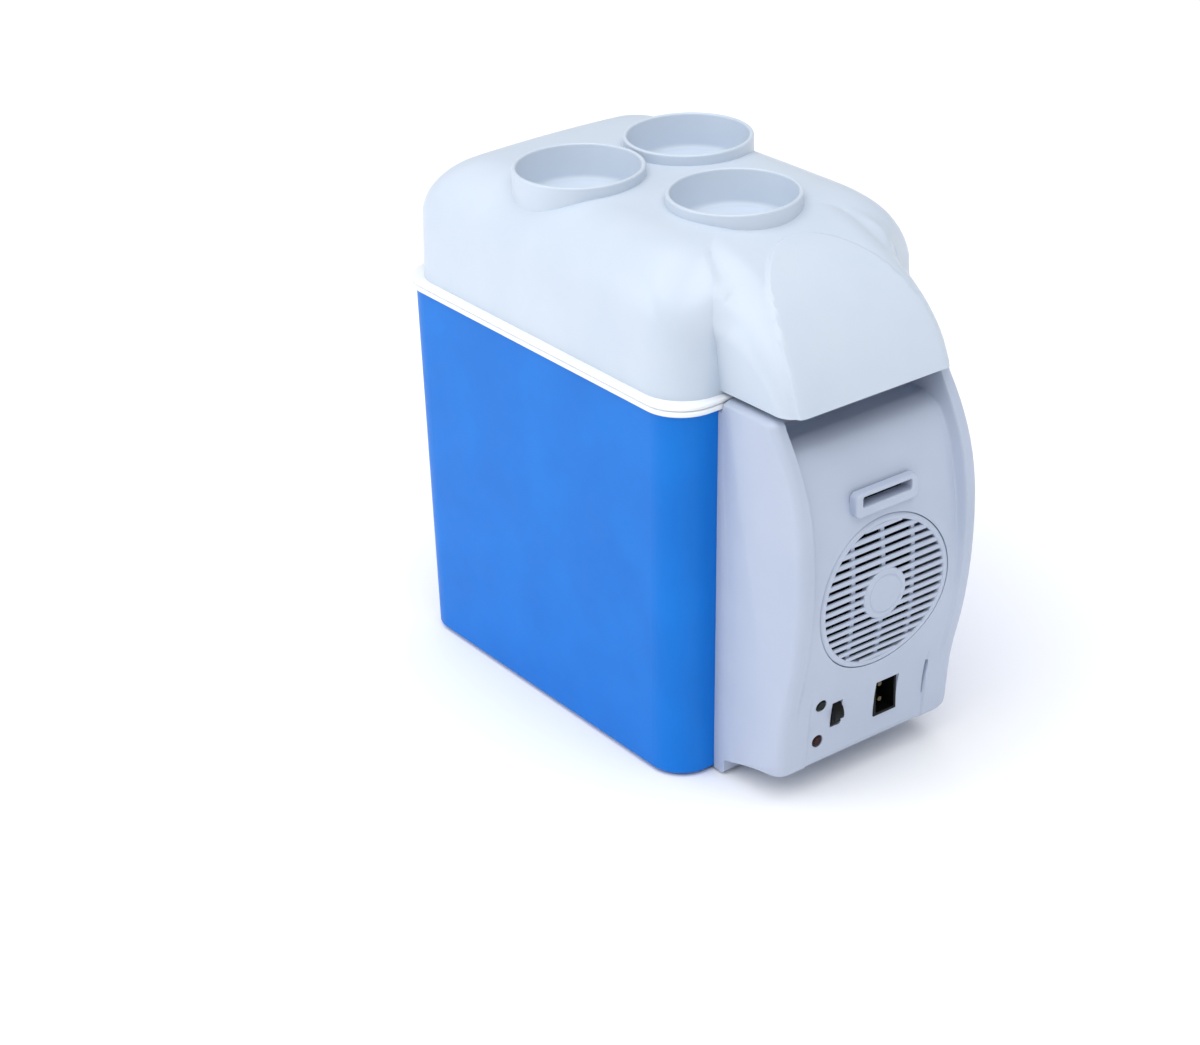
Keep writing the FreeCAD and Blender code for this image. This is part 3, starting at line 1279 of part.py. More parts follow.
node("supply_wires", supply_wires())
node("lid_shell", lid_shell())
node("lid_liner", lid_liner())
node("lid_foam", lid_foam())
node("lid_seal", seal_ring("SealRing"))
node("lid_hinge_knuckles", lid_hinge_knuckles())
node("case_hinge_knuckles", case_hinge_knuckles())
node("hinge_pins", hinge_pins())
node("case_hinge_screws", hinge_screw_set("CaseScrewSet", False))
node("lid_hinge_screws", hinge_screw_set("LidScrewSet", True))

doc.recompute()

# ---------------------------------------------------------------- checks and export
for item in doc.Objects:
    if "Invalid" in item.State or "Error" in item.State:
        raise RuntimeError(f"{item.Name} did not compute: {item.State}")
for name, item in NODES.items():
    if item.Shape.isNull() or not item.Shape.isValid() or not item.Shape.Solids:
        raise RuntimeError(f"{name} has no valid solid")
for name, item in NODES.items():
    box = item.Shape.optimalBoundingBox(False)
    print(f"{name:24s} solids {len(item.Shape.Solids):2d}  volume {item.Shape.Volume / 1000:9.2f} cm3"
          f"  x {box.XMin:7.1f} {box.XMax:7.1f}  y {box.YMin:7.1f} {box.YMax:7.1f}"
          f"  z {box.ZMin:6.1f} {box.ZMax:6.1f}")
    item.Shape.exportStep(f"parts/{name}.step")
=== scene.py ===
import math

import bmesh
import bpy
import numpy as np
from mathutils import Matrix, Vector


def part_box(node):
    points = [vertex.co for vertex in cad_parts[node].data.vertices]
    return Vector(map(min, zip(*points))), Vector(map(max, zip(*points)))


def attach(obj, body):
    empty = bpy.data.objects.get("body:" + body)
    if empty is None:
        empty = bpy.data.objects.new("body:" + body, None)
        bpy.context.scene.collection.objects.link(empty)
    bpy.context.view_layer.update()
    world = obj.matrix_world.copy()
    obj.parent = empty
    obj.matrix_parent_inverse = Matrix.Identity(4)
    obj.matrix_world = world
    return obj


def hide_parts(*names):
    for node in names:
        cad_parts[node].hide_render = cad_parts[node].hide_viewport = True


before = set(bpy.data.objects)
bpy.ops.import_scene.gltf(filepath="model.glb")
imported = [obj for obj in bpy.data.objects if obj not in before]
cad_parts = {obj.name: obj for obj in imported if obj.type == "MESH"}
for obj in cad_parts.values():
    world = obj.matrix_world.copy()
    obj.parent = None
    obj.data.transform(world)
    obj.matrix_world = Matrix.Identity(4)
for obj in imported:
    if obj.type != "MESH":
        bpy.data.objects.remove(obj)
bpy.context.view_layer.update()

# Portable mini fridge. Every length below is in millimetres and is turned to metres
# when a mesh is made. "Depth" runs from the tub's back face towards the front.
MM = 0.001
# A turned profile starts this far off its axis, so that its middle stays closed
AXIS = 0.01


def span(node):
    """Lowest and highest corner of a CAD node, in millimetres."""
    low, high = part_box(node)
    return np.array(low) / MM, np.array(high) / MM


CASE_LOW, CASE_HIGH = span("outer_case")
LINER_LOW, LINER_HIGH = span("inner_liner")
TRAY_LOW, TRAY_HIGH = span("lid_liner")
LID_LOW, LID_HIGH = span("lid_shell")
UNIT_LOW, UNIT_HIGH = span("front_housing")
GRILLE_LOW, GRILLE_HIGH = span("fan_grille")

REAR = CASE_HIGH[1]
CASE_TOP = CASE_HIGH[2]
CASE_DEPTH = REAR - CASE_LOW[1]
CASE_DRAFT = 8.0
CASE_BASE_DEPTH = CASE_DEPTH - CASE_DRAFT
BAND_HALF = LINER_HIGH[0]
BAND_TOP = LINER_HIGH[2]
BAND_PROUD = BAND_HALF - CASE_HIGH[0]
TRAY_THICKNESS = 3.0
TRAY_BOTTOM = TRAY_HIGH[2] - TRAY_THICKNESS
LID_BASE = TRAY_HIGH[2]
UNIT_REACH = REAR - UNIT_LOW[1]
UNIT_HALF = UNIT_HIGH[0]
UNIT_TOP = UNIT_HIGH[2]
FAN_HEIGHT = (GRILLE_LOW[2] + GRILLE_HIGH[2]) / 2
GRILLE_RADIUS = GRILLE_HIGH[0]


# ------------------------------------------------------------------ mesh tools
def grid_faces(rows, cols, wrap_rows=False, wrap_cols=False):
    """Quads between neighbouring rows and columns of a grid of points."""
    r = np.arange(rows if wrap_rows else rows - 1)
    c = np.arange(cols if wrap_cols else cols - 1)
    r, c = np.meshgrid(r, c, indexing="ij")
    r2, c2 = (r + 1) % rows, (c + 1) % cols
    quads = np.stack([r * cols + c, r * cols + c2, r2 * cols + c2, r2 * cols + c], axis=-1)
    return quads.reshape(-1, 4)


def solid(name, grid, wrap_cols=True, wrap_rows=False, caps=True, extra=()):
    """Object from a grid of points (rows, columns, 3), with flat caps on its end rows."""
    rows, cols = grid.shape[:2]
    faces = grid_faces(rows, cols, wrap_rows, wrap_cols).tolist()
    if caps:
        faces.append(list(range(cols)))
        faces.append(list(range((rows - 1) * cols, rows * cols)))
    faces += [list(face) for face in extra]
    mesh = bpy.data.meshes.new(name)
    mesh.from_pydata((grid.reshape(-1, 3) * MM).tolist(), [], faces)
    item = bpy.data.objects.new(name, mesh)
    bpy.context.scene.collection.objects.link(item)
    tidy_mesh(item)
    return item


def tidy_mesh(item, merge=0.00001):
    """Welds doubled points, then turns every face outwards."""
    bm = bmesh.new()
    bm.from_mesh(item.data)
    bmesh.ops.remove_doubles(bm, verts=bm.verts, dist=merge)
    bmesh.ops.dissolve_degenerate(bm, edges=bm.edges, dist=merge / 2)
    bmesh.ops.recalc_face_normals(bm, faces=bm.faces)
    bm.to_mesh(item.data)
    bm.free()


def combine(target, other, how):
    """Boolean of two closed pieces; the second one is used up."""
    step = target.modifiers.new("combine", "BOOLEAN")
    step.operation = how
    step.solver = "EXACT"
    step.object = other
    view = bpy.context.evaluated_depsgraph_get()
    mesh = bpy.data.meshes.new_from_object(target.evaluated_get(view))
    target.modifiers.clear()
    target.data = mesh
    bpy.data.objects.remove(other)
    return target


def joined(name, items):
    """One mesh from several separate closed ones."""
    bm = bmesh.new()
    for item in items:
        bm.from_mesh(item.data)
        bpy.data.objects.remove(item)
    mesh = bpy.data.meshes.new(name)
    bm.to_mesh(mesh)
    bm.free()
    result = bpy.data.objects.new(name, mesh)
    bpy.context.scene.collection.objects.link(result)
    return result


def trim(item, point, normal):
    """Cuts off the side of a plane that its normal points to, and closes the cut."""
    bm = bmesh.new()
    bm.from_mesh(item.data)
    done = bmesh.ops.bisect_plane(bm, geom=bm.verts[:] + bm.edges[:] + bm.faces[:],
                                  plane_co=Vector(point) * MM, plane_no=Vector(normal),
                                  clear_outer=True)
    rim = [part for part in done["geom_cut"] if isinstance(part, bmesh.types.BMEdge)]
    bmesh.ops.holes_fill(bm, edges=rim)
    bm.to_mesh(item.data)
    bm.free()
    return item


def shade(item, angle=32):
    """Smooth faces, with sharp edges where two faces meet at more than an angle."""
    item.data.polygons.foreach_set("use_smooth", np.ones(len(item.data.polygons), bool))
    item.data.set_sharp_from_angle(angle=math.radians(angle))


def finish_piece(item, name, body, material, replaced):
    """Names a piece, gives it its material and slot, and puts it on its body."""
    item.name = name
    item.data.name = name
    item.data.materials.clear()
    item.data.materials.append(material)
    shade(item)
    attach(item, body)
    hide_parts(*replaced)


def smoothstep(low, high, value):
    """0 below low, 1 above high, and a cubic with level ends between them."""
    t = np.clip((value - low) / (high - low), 0, 1)
    return t * t * (3 - 2 * t)


def spline(points, count):
    """Natural cubic curve through points, at even steps of chord length."""
    p = np.array(points, float)
    t = np.concatenate([[0], np.cumsum(np.linalg.norm(np.diff(p, axis=0), axis=1))])
    n = len(t)
    h = np.diff(t)
    a = np.eye(n)
    b = np.zeros((n, p.shape[1]))
    for i in range(1, n - 1):
        a[i, i - 1:i + 2] = [h[i - 1], 2 * (h[i - 1] + h[i]), h[i]]
        b[i] = 6 * ((p[i + 1] - p[i]) / h[i] - (p[i] - p[i - 1]) / h[i - 1])
    m = np.linalg.solve(a, b)
    s = np.linspace(0, t[-1], count)
    k = np.clip(np.searchsorted(t, s, side="right") - 1, 0, n - 2)
    u, w = (t[k + 1] - s)[:, None], (s - t[k])[:, None]
    hk = h[k][:, None]
    return (m[k] * u ** 3 + m[k + 1] * w ** 3) / (6 * hk) + \
        (p[k] / hk - m[k] * hk / 6) * u + (p[k + 1] / hk - m[k + 1] * hk / 6) * w


def box_solid(x0, x1, depth0, depth1, z0, z1):
    """Upright block between two widths, two depths and two heights."""
    y0, y1 = REAR - depth1, REAR - depth0
    corners = [(x0, y0), (x1, y0), (x1, y1), (x0, y1)]
    grid = np.array([[(x, y, level) for x, y in corners] for level in (z0, z1)])
    return solid("cutter", grid)


def revolved(name, profile, centre, axis="z", steps=96):
    """Closed (radius, along) profile turned about an upright or front-to-back axis."""
    profile = np.array(profile, float)
    angle = np.linspace(0, 2 * np.pi, steps, endpoint=False)[:, None]
    r, along = profile[None, :, 0], profile[None, :, 1]
    a, b = r * np.cos(angle), r * np.sin(angle)
    level = along + 0 * angle
    if axis == "z":
        grid = np.stack([centre[0] + a, centre[1] + b, level], axis=-1)
    else:
        grid = np.stack([centre[0] + a, level, centre[2] + b], axis=-1)
    return solid(name, grid, wrap_rows=True, caps=False)


# ------------------------------------------------------------------ materials
def linear(code):
    """sRGB hex to linear RGBA."""
    parts = [int(code[i:i + 2], 16) / 255 for i in (1, 3, 5)]
    return [p / 12.92 if p <= 0.04045 else ((p + 0.055) / 1.055) ** 2.4 for p in parts] + [1.0]


def add(tree, kind, settings=None, links=None):
    """Adds a node with its settings, and feeds its inputs from other sockets."""
    item = tree.nodes.new(kind)
    for key, value in (settings or {}).items():
        if hasattr(item, key):
            setattr(item, key, value)
        else:
            item.inputs[key].default_value = value
    for key, source in (links or {}).items():
        tree.links.new(source, item.inputs[key])
    return item


def plastic(name, colour, shade_colour, roughness, grain_mm=0.35, grain_depth=0.004,
            wave_mm=45, spread=0.05, specular=0.5):
    """Injection-moulded plastic: fine spark-eroded grain, slow tone drift and slight sink waves."""
    material = bpy.data.materials.new(name)
    material.use_nodes = True
    tree = material.node_tree
    surface = tree.nodes["Principled BSDF"]
    surface.inputs["Specular IOR Level"].default_value = specular
    place = add(tree, "ShaderNodeTexCoord").outputs["Object"]
    drift = add(tree, "ShaderNodeTexNoise", {"Scale": 1 / (wave_mm * MM), "Detail": 3.0,
                                             "Roughness": 0.5}, {"Vector": place})
    tone = add(tree, "ShaderNodeMapRange", {"From Min": 0.35, "From Max": 0.65},
               {"Value": drift.outputs["Fac"]})
    mix = add(tree, "ShaderNodeMix", {"data_type": "RGBA"}, {"Factor": tone.outputs["Result"]})
    mix.inputs[6].default_value = linear(colour)
    mix.inputs[7].default_value = linear(shade_colour)
    tree.links.new(mix.outputs[2], surface.inputs["Base Color"])
    rub = add(tree, "ShaderNodeTexNoise", {"Scale": 1 / (12 * MM), "Detail": 4.0}, {"Vector": place})
    rough = add(tree, "ShaderNodeMapRange", {"To Min": roughness - spread, "To Max": roughness + spread},
                {"Value": rub.outputs["Fac"]})
    tree.links.new(rough.outputs["Result"], surface.inputs["Roughness"])
    grain = add(tree, "ShaderNodeTexNoise", {"Scale": 1 / (grain_mm * MM), "Detail": 2.0},
                {"Vector": place})
    sink = add(tree, "ShaderNodeTexNoise", {"Scale": 1 / (60 * MM), "Detail": 1.0}, {"Vector": place})
    slow = add(tree, "ShaderNodeBump", {"Strength": 0.25, "Distance": 0.6 * MM},
               {"Height": sink.outputs["Fac"]})
    fine = add(tree, "ShaderNodeBump", {"Strength": 0.35, "Distance": grain_depth * MM * 10},
               {"Height": grain.outputs["Fac"], "Normal": slow.outputs["Normal"]})
    tree.links.new(fine.outputs["Normal"], surface.inputs["Normal"])
    surface.inputs["IOR"].default_value = 1.5
    return material


def metal(name, colour, roughness, brush=(1, 1, 1), brush_mm=0.4, metallic=1.0):
    """Metal with drawn or ground lines, finer across the brush direction than along it."""
    material = bpy.data.materials.new(name)
    material.use_nodes = True
    tree = material.node_tree
    surface = tree.nodes["Principled BSDF"]
    place = add(tree, "ShaderNodeTexCoord").outputs["Object"]
    turn = add(tree, "ShaderNodeMapping", {"Scale": brush}, {"Vector": place})
    lines = add(tree, "ShaderNodeTexNoise", {"Scale": 1 / (brush_mm * MM), "Detail": 3.0},
                {"Vector": turn.outputs["Vector"]})
    rough = add(tree, "ShaderNodeMapRange", {"To Min": roughness - 0.08, "To Max": roughness + 0.1},
                {"Value": lines.outputs["Fac"]})
    bump = add(tree, "ShaderNodeBump", {"Strength": 0.3, "Distance": 0.02 * MM},
               {"Height": lines.outputs["Fac"]})
    tint = add(tree, "ShaderNodeMix", {"data_type": "RGBA"}, {"Factor": lines.outputs["Fac"]})
    tint.inputs[6].default_value = linear(colour)
    tint.inputs[7].default_value = [min(1.0, 0.8 * c) for c in linear(colour)[:3]] + [1.0]
    tree.links.new(tint.outputs[2], surface.inputs["Base Color"])
    tree.links.new(rough.outputs["Result"], surface.inputs["Roughness"])
    tree.links.new(bump.outputs["Normal"], surface.inputs["Normal"])
    surface.inputs["Metallic"].default_value = metallic
    return material


def foam(name, colour, cell_mm):
    """Blown or bead foam: rounded cells seen as shallow pits."""
    material = bpy.data.materials.new(name)
    material.use_nodes = True
    tree = material.node_tree
    surface = tree.nodes["Principled BSDF"]
    place = add(tree, "ShaderNodeTexCoord").outputs["Object"]
    cells = add(tree, "ShaderNodeTexVoronoi", {"Scale": 1 / (cell_mm * MM)}, {"Vector": place})
    tone = add(tree, "ShaderNodeMix", {"data_type": "RGBA"}, {"Factor": cells.outputs["Distance"]})
    tone.inputs[6].default_value = linear(colour)
    tone.inputs[7].default_value = [0.75 * c for c in linear(colour)[:3]] + [1.0]
    bump = add(tree, "ShaderNodeBump", {"Strength": 0.6, "Distance": 0.3 * MM, "invert": True},
               {"Height": cells.outputs["Distance"]})
    tree.links.new(tone.outputs[2], surface.inputs["Base Color"])
    tree.links.new(bump.outputs["Normal"], surface.inputs["Normal"])
    surface.inputs["Roughness"].default_value = 0.9
    return material


# ABS, moulded against a spark-eroded tool: satin, nearly white with a cold cast
pale_abs = plastic("pale_abs_moulded", "#C6D1DF", "#C2CEDD", 0.36)
# ABS of the cooling unit, same tool finish: a little darker and bluer than the lid
grey_abs = plastic("grey_abs_moulded", "#B4BED2", "#B0BBCF", 0.38)
# Polypropylene, moulded: waxy satin that reflects little, so the blue stays deep
blue_pp = plastic("blue_polypropylene_moulded", "#0273D2", "#026ECC", 0.45, grain_mm=0.45,
                  specular=0.2)
# ABS, moulded in a polished tool: clean white that shines more than the outside
white_abs = plastic("white_abs_moulded", "#F1F4F7", "#EDF1F5", 0.25, grain_depth=0.001)
# Glass-filled nylon, moulded: dull black, with almost no highlight
black_nylon = plastic("black_nylon_moulded", "#050607", "#08090A", 0.5, specular=0.2)
# Rubber, pressed: matt and faintly rough black
foot_rubber = plastic("foot_rubber_pressed", "#1A1A1A", "#222222", 0.75, grain_mm=0.6,
                      grain_depth=0.01)
# Rubber, extruded: dark grey with a soft, even sheen
seal_rubber = plastic("seal_rubber_extruded", "#4A4D50", "#43464A", 0.6, grain_mm=0.5)
# Foam rubber, blown and die-cut: small dark cells
gasket_foam = foam("gasket_foam_rubber", "#26272A", 0.8)
# Bead foam, steam-moulded: cream beads pressed into each other
bead_foam = foam("insulation_bead_foam", "#EFEADB", 3.0)
# Tinted acrylic of the unlit lamps, moulded: nearly black green and red, smooth
green_lens = plastic("green_lamp_lens", "#020A0A", "#030C0C", 0.25, grain_depth=0.0005,
                     specular=0.2)
red_lens = plastic("red_lamp_lens", "#2A020A", "#240208", 0.25, grain_depth=0.0005, specular=0.2)
# Glass-epoxy laminate, pressed and lacquered: green with a woven unevenness
circuit = plastic("circuit_board_laminate", "#1F5A34", "#1A4F2D", 0.4, grain_mm=1.2)
# PVC, extruded on wire: plain red with a slight gloss
wire_sheath = plastic("wire_sheath_pvc", "#A01C1C", "#8C1616", 0.35)
# Alumina, fired: chalky off-white plate
alumina = plastic("alumina_plate_fired", "#ECEAE3", "#E4E1D8", 0.5)
# Aluminium, extruded: bright grey with drawn lines along the fins
aluminium = metal("aluminium_extruded", "#C9CCD1", 0.35, brush=(1, 1, 0.05))
# Aluminium, extruded and anodised black: the same lines under a dark, matt film
dark_aluminium = metal("aluminium_anodised_black", "#1A1B1E", 0.5, brush=(1, 1, 0.05),
                       metallic=0.6)
# Steel, zinc plated: cool grey, fairly smooth
zinc_steel = metal("zinc_plated_steel", "#B9BCC2", 0.3)
# Brass, drawn and tinned: dull yellow-grey
contact_brass = metal("contact_brass_tinned", "#6E6350", 0.4, brush=(1, 0.1, 1))


# ------------------------------------------------------------------ rounded-rectangle rings
def ring(half, back, front, corner, z, arc=14, long=44, short=28):
    """Rounded rectangle at one height, from its half width and the depths of its back and
    front: corners as quarter circles, sides in even steps."""
    corner = max(corner, 0.5)
    quarter = np.linspace(0, np.pi / 2, arc)
    y_back, y_front = REAR - back, REAR - front
    centres = [(half - corner, y_front + corner, -np.pi / 2), (half - corner, y_back - corner, 0),
               (-half + corner, y_back - corner, np.pi / 2), (-half + corner, y_front + corner, np.pi)]
    runs = []
    counts = [long, short, long, short]
    corners = []
    for x, y, start in centres:
        corners.append(np.stack([x + corner * np.cos(quarter + start),
                                 y + corner * np.sin(quarter + start)], axis=1))
    for index in range(4):
        runs.append(corners[index])
        start, end = corners[index][-1], corners[(index + 1) % 4][0]
        steps = np.linspace(0, 1, counts[index] + 1)[1:-1, None]
        runs.append(start + (end - start) * steps)
    flat = np.concatenate(runs)
    return np.column_stack([flat, np.full(len(flat), float(z))])


def rolled(corner, radius, start, end, count=6):
    """Arc of (offset, height) pairs about a point, between two angles in degrees."""
    angle = np.radians(np.linspace(start, end, count))
    return [(corner[0] + radius * math.cos(a), corner[1] + radius * math.sin(a)) for a in angle]


def carried(name, stations):
    """Rounded-rectangle rings joined into one closed shell; the last ring is capped."""
    grid = np.stack([ring(*station) for station in stations])
    return solid(name, grid)


# ------------------------------------------------------------------ lid
CROWN_DEPTH = 200.0
CROWN_HEIGHT = LID_HIGH[2] - 5.1
CROWN_RADIUS = 113.6
BACK_DROP = 6.0
SIDE_DOME = 3.0
SHOULDER = 31.0
SHOULDER_WIDE = 37.0
LID_HALF = LID_HIGH[0]
LID_BACK = 2.0
LID_FRONT = CASE_DEPTH - 2.0
LID_CORNER = 26.0
TOP_CORNER = 9.0
SPINE_END = 90.0
NOSE_HALF = 62.0
NOSE_LIP_HALF = 57.5
NOSE_LIP = REAR - LID_LOW[1]
NOSE_LOW = LID_BASE + 2.2
NOSE_WALL = 2.5
ROOT_ROLL = 28.0
LIP_ROLL = 11.0
DOME_FADE = (24, 48)
ROOT_SINK = 0.5
ARCH_FOOT_TURN = 68.5
ARCH_TOP_TURN = 20.0
ARCH_HALF = 52.0
ARCH_RISE = 1.2
ARCH_EDGE = 1.4
MM_PER_TURN = 2.2
BLEND_REACH = 24.0
CUP_RADIUS = 36.85
CUP_RIM = LID_HIGH[2]
CUP_DEEP = 20.0
CUP_FLOOR = CUP_RIM - CUP_DEEP
CUP_SKIN = 3.0
CUP_EDGE = 1.1
CUP_WALL = 2.6
CUP_FLARE = 2.2
CUP_FOOT = 3.5
CUP_PLACES = [(-38.1, 105.5), (38.1, 105.5), (0.0, 192.6)]


def crown(depth, x=0.0):
    """Height of the lid's top: a slow rise to the crown line, then an arc down the nose,
    and a shallow dome from side to side."""
    behind = CROWN_HEIGHT - BACK_DROP * ((CROWN_DEPTH - depth) / CROWN_DEPTH) ** 2
    drop = np.clip(depth - CROWN_DEPTH, 0, CROWN_RADIUS - 1)
    ahead = CROWN_HEIGHT - CROWN_RADIUS + np.sqrt(CROWN_RADIUS ** 2 - drop ** 2)
    return np.where(depth < CROWN_DEPTH, behind, ahead) - SIDE_DOME * (x / LID_HALF) ** 2


def lid_block():
    """Walls, then a shoulder that is a quarter circle in the distance from the outline,
    then the domed top drawn in to a line along the middle."""
    rows = []
    for share in np.linspace(0, 1, 8):
        outline = ring(LID_HALF - share, LID_BACK + share, LID_FRONT - share, LID_CORNER, 0)
        top = crown(REAR - outline[:, 1], outline[:, 0]) - SHOULDER
        outline[:, 2] = LID_BASE + share * (top - LID_BASE)
        rows.append(outline)
    for turn in np.radians(np.linspace(6, 90, 15)):
        inset = 1 + SHOULDER_WIDE * (1 - math.cos(turn))
        corner = LID_CORNER - inset * (LID_CORNER - TOP_CORNER) / (SHOULDER_WIDE + 1)
        outline = ring(LID_HALF - inset, LID_BACK + inset, LID_FRONT - inset, corner, 0)
        outline[:, 2] = crown(REAR - outline[:, 1], outline[:, 0]) - SHOULDER * (1 - math.sin(turn))
        rows.append(outline)
    edge = rows[-1]
    spine = edge.copy()
    spine[:, 0] = 0
    spine[:, 1] = np.clip(edge[:, 1], REAR - LID_FRONT + SPINE_END, REAR - LID_BACK - SPINE_END)
    for share in np.linspace(0, 1, 14)[1:]:
        inner = edge + (spine - edge) * share
        inner[:, 2] = crown(REAR - inner[:, 1], inner[:, 0])
        rows.append(inner)
    grid = np.stack(rows)
    return solid("lid_block", grid, caps=False, extra=[range(grid.shape[1])])


def arch_lift(angle, x):
    """Height of the tombstone-shaped raised field: inside a half ellipse in (turn, width)."""
    reach = np.clip((ARCH_FOOT_TURN - angle) / (ARCH_FOOT_TURN - ARCH_TOP_TURN), -1, 1)
    half = ARCH_HALF * np.sqrt(np.clip(1 - reach ** 2, 0, 1))
    gap = np.minimum(half - np.abs(x), (angle - ARCH_TOP_TURN) * MM_PER_TURN)
    return ARCH_RISE * smoothstep(0, ARCH_EDGE, gap)


def nose_half(depth):
    """Half width of the hood: straight to the block's front, then tapering to the lip."""
    lean = np.clip((depth - LID_FRONT) / (NOSE_LIP - LID_FRONT), 0, 1.2)
    return NOSE_HALF - lean * (NOSE_HALF - NOSE_LIP_HALF)


def nose_shoulder(turn):
    """Radius of the hood's rolled side edges: wide at the root, tighter towards the lip."""
    return ROOT_ROLL - (ROOT_ROLL - LIP_ROLL) * smoothstep(24, 64, turn)


def side_dome(turn, x):
    """How far the top falls towards its sides; the hood grows level further down."""
    return (1 - smoothstep(*DOME_FADE, turn)) * SIDE_DOME * (x / LID_HALF) ** 2


def lid_nose(inset=0.0):
    """Slices turned about the crown arc's centre: straight sides, rolled shoulders and a
    nearly flat top, with the raised field added along the surface's normal."""
    turns = np.linspace(2, 84, 165)
    side = np.linspace(0, 1, 9)[:-1]
    roll = np.radians(np.linspace(0, 90, 22))
    across = np.linspace(-1, 1, 115)[1:-1]
    radius = CROWN_RADIUS - inset
    rows = []
    for turn in turns:
        half = nose_half(CROWN_DEPTH + radius * math.sin(math.radians(turn))) - inset
        shoulder = nose_shoulder(turn) - 0.6 * inset
        start = 40 - inset
        left = np.column_stack([np.full(len(side), -half), start + (radius - shoulder - start) * side])
        curve = np.column_stack([-half + shoulder * (1 - np.cos(roll)),
                                 radius - shoulder * (1 - np.sin(roll))])
        flat = np.column_stack([across * (half - shoulder), np.full(len(across), radius)])
        right = np.column_stack([-curve[::-1, 0], curve[::-1, 1]])
        down = np.column_stack([-left[::-1, 0], left[::-1, 1]])
        rows.append(np.concatenate([left, curve, flat, right, down]))
    still = np.zeros((len(side), 2))
    normal = np.concatenate([still, np.column_stack([-np.cos(roll), np.sin(roll)]),
                             np.tile([0.0, 1.0], (len(across), 1)),
                             np.column_stack([np.cos(roll), np.sin(roll)])[::-1], still])
    table = np.stack(rows)
    x, r = table[..., 0], table[..., 1]
    angle = turns[:, None] + 0 * x
    on_top = smoothstep(radius - 30, radius - 12, r)
    r = r - on_top * side_dome(angle, x)
    r = r - ROOT_SINK * (1 - smoothstep(10, 22, angle))
    if inset == 0:
        lift = arch_lift(angle, x)
        x, r = x + lift * normal[None, :, 0], r + lift * normal[None, :, 1]
    radians = np.radians(angle)
    y = REAR - (CROWN_DEPTH + r * np.sin(radians))
    z = CROWN_HEIGHT - CROWN_RADIUS + r * np.cos(radians)
    return solid("lid_nose", np.stack([x, y, z], axis=-1))


def block_distance(x, depth, z):
    """Rough distance outside the block: the inset of the ring through the point comes from
    a quadratic in the corners, and the shoulder is an ellipse in (inset, height)."""
    inset = np.minimum(LID_HALF - np.abs(x), LID_FRONT - depth)
    share = (LID_CORNER - TOP_CORNER) / (SHOULDER_WIDE + 1)
    u, w = np.abs(x) - LID_HALF + LID_CORNER, depth - LID_FRONT + LID_CORNER
    slide = 1 - share
    a = 2 * slide ** 2 - share ** 2
    b = 2 * slide * (u + w) + 2 * share * LID_CORNER
    c = u ** 2 + w ** 2 - LID_CORNER ** 2
    corner = (-b + np.sqrt(np.maximum(b ** 2 - 4 * a * c, 0))) / (2 * a)
    in_corner = (u + slide * inset > 0) & (w + slide * inset > 0)
    inset = np.where(in_corner, corner, inset)
    top = crown(depth, x)
    across, up = (SHOULDER_WIDE + 1 - inset) / SHOULDER_WIDE, (z - top + SHOULDER) / SHOULDER
    round_part = (np.hypot(np.maximum(across, 0), up) - 1) * SHOULDER
    return np.where(up > 0, round_part, (across - 1) * SHOULDER_WIDE)


def nose_distance(x, depth, z):
    """Rough distance outside the hood: a rounded box in (width, radius about the arc)."""
    forward, up = depth - CROWN_DEPTH, z - CROWN_HEIGHT + CROWN_RADIUS
    turn, r = np.degrees(np.arctan2(forward, up)), np.hypot(forward, up)
    shoulder = nose_shoulder(turn)
    top = CROWN_RADIUS - side_dome(turn, x)
    across, out = np.abs(x) - nose_half(depth) + shoulder, r - top + shoulder
    outside = np.hypot(np.maximum(across, 0), np.maximum(out, 0))
    return outside + np.minimum(np.maximum(across, out), 0) - shoulder


def root_fields(points):
    """Distances outside the block and outside the hood, one row each."""
    x, depth, z = points[:, 0], REAR - points[:, 1], points[:, 2]
    return np.stack([block_distance(x, depth, z), nose_distance(x, depth, z)])


def root_slopes(points, fields, step=0.5):
    """Slope of both distances along x, y and z, from a small step each way."""
    return np.stack([(root_fields(points + step * axis) - fields) / step for axis in np.eye(3)])


def blend_root(item):
    """Fills the hollow crease between block and hood. Each point moves outwards by
    (k - gap)^2 / 4k along the two surfaces' mixed normals, gap being the difference of its
    two distances; k is wide where the surfaces cross steeply near the top, and dies out
    down the side, behind the root and towards the middle."""
    points = np.empty(len(item.data.vertices) * 3)
    item.data.vertices.foreach_get("co", points)
    points = points.reshape(-1, 3) / MM
    fields = root_fields(points)
    block, nose = fields
    slopes = root_slopes(points, fields)
    lengths = np.linalg.norm(slopes[:, 0], axis=0) * np.linalg.norm(slopes[:, 1], axis=0)
    agree = (slopes[:, 0] * slopes[:, 1]).sum(axis=0) / np.maximum(lengths, 1e-6)
    steep = smoothstep(0.06, 0.5, 1 - agree)
    high = smoothstep(250, 284, points[:, 2])
    ahead = smoothstep(196, 212, REAR - points[:, 1])
    aside = smoothstep(18, 40, np.abs(points[:, 0]))
    k = 0.01 + BLEND_REACH * steep * high * ahead * aside
    share = np.clip(0.5 + (nose - block) / (2 * k), 0, 1)
    way = (slopes[:, 0] * share + slopes[:, 1] * (1 - share)).T
    way /= np.maximum(np.linalg.norm(way, axis=1), 1e-6)[:, None]
    move = np.maximum(k - np.abs(block - nose), 0) ** 2 / (4 * k)
    points += way * move[:, None]
    item.data.vertices.foreach_set("co", (points * MM).ravel())
    item.data.update()


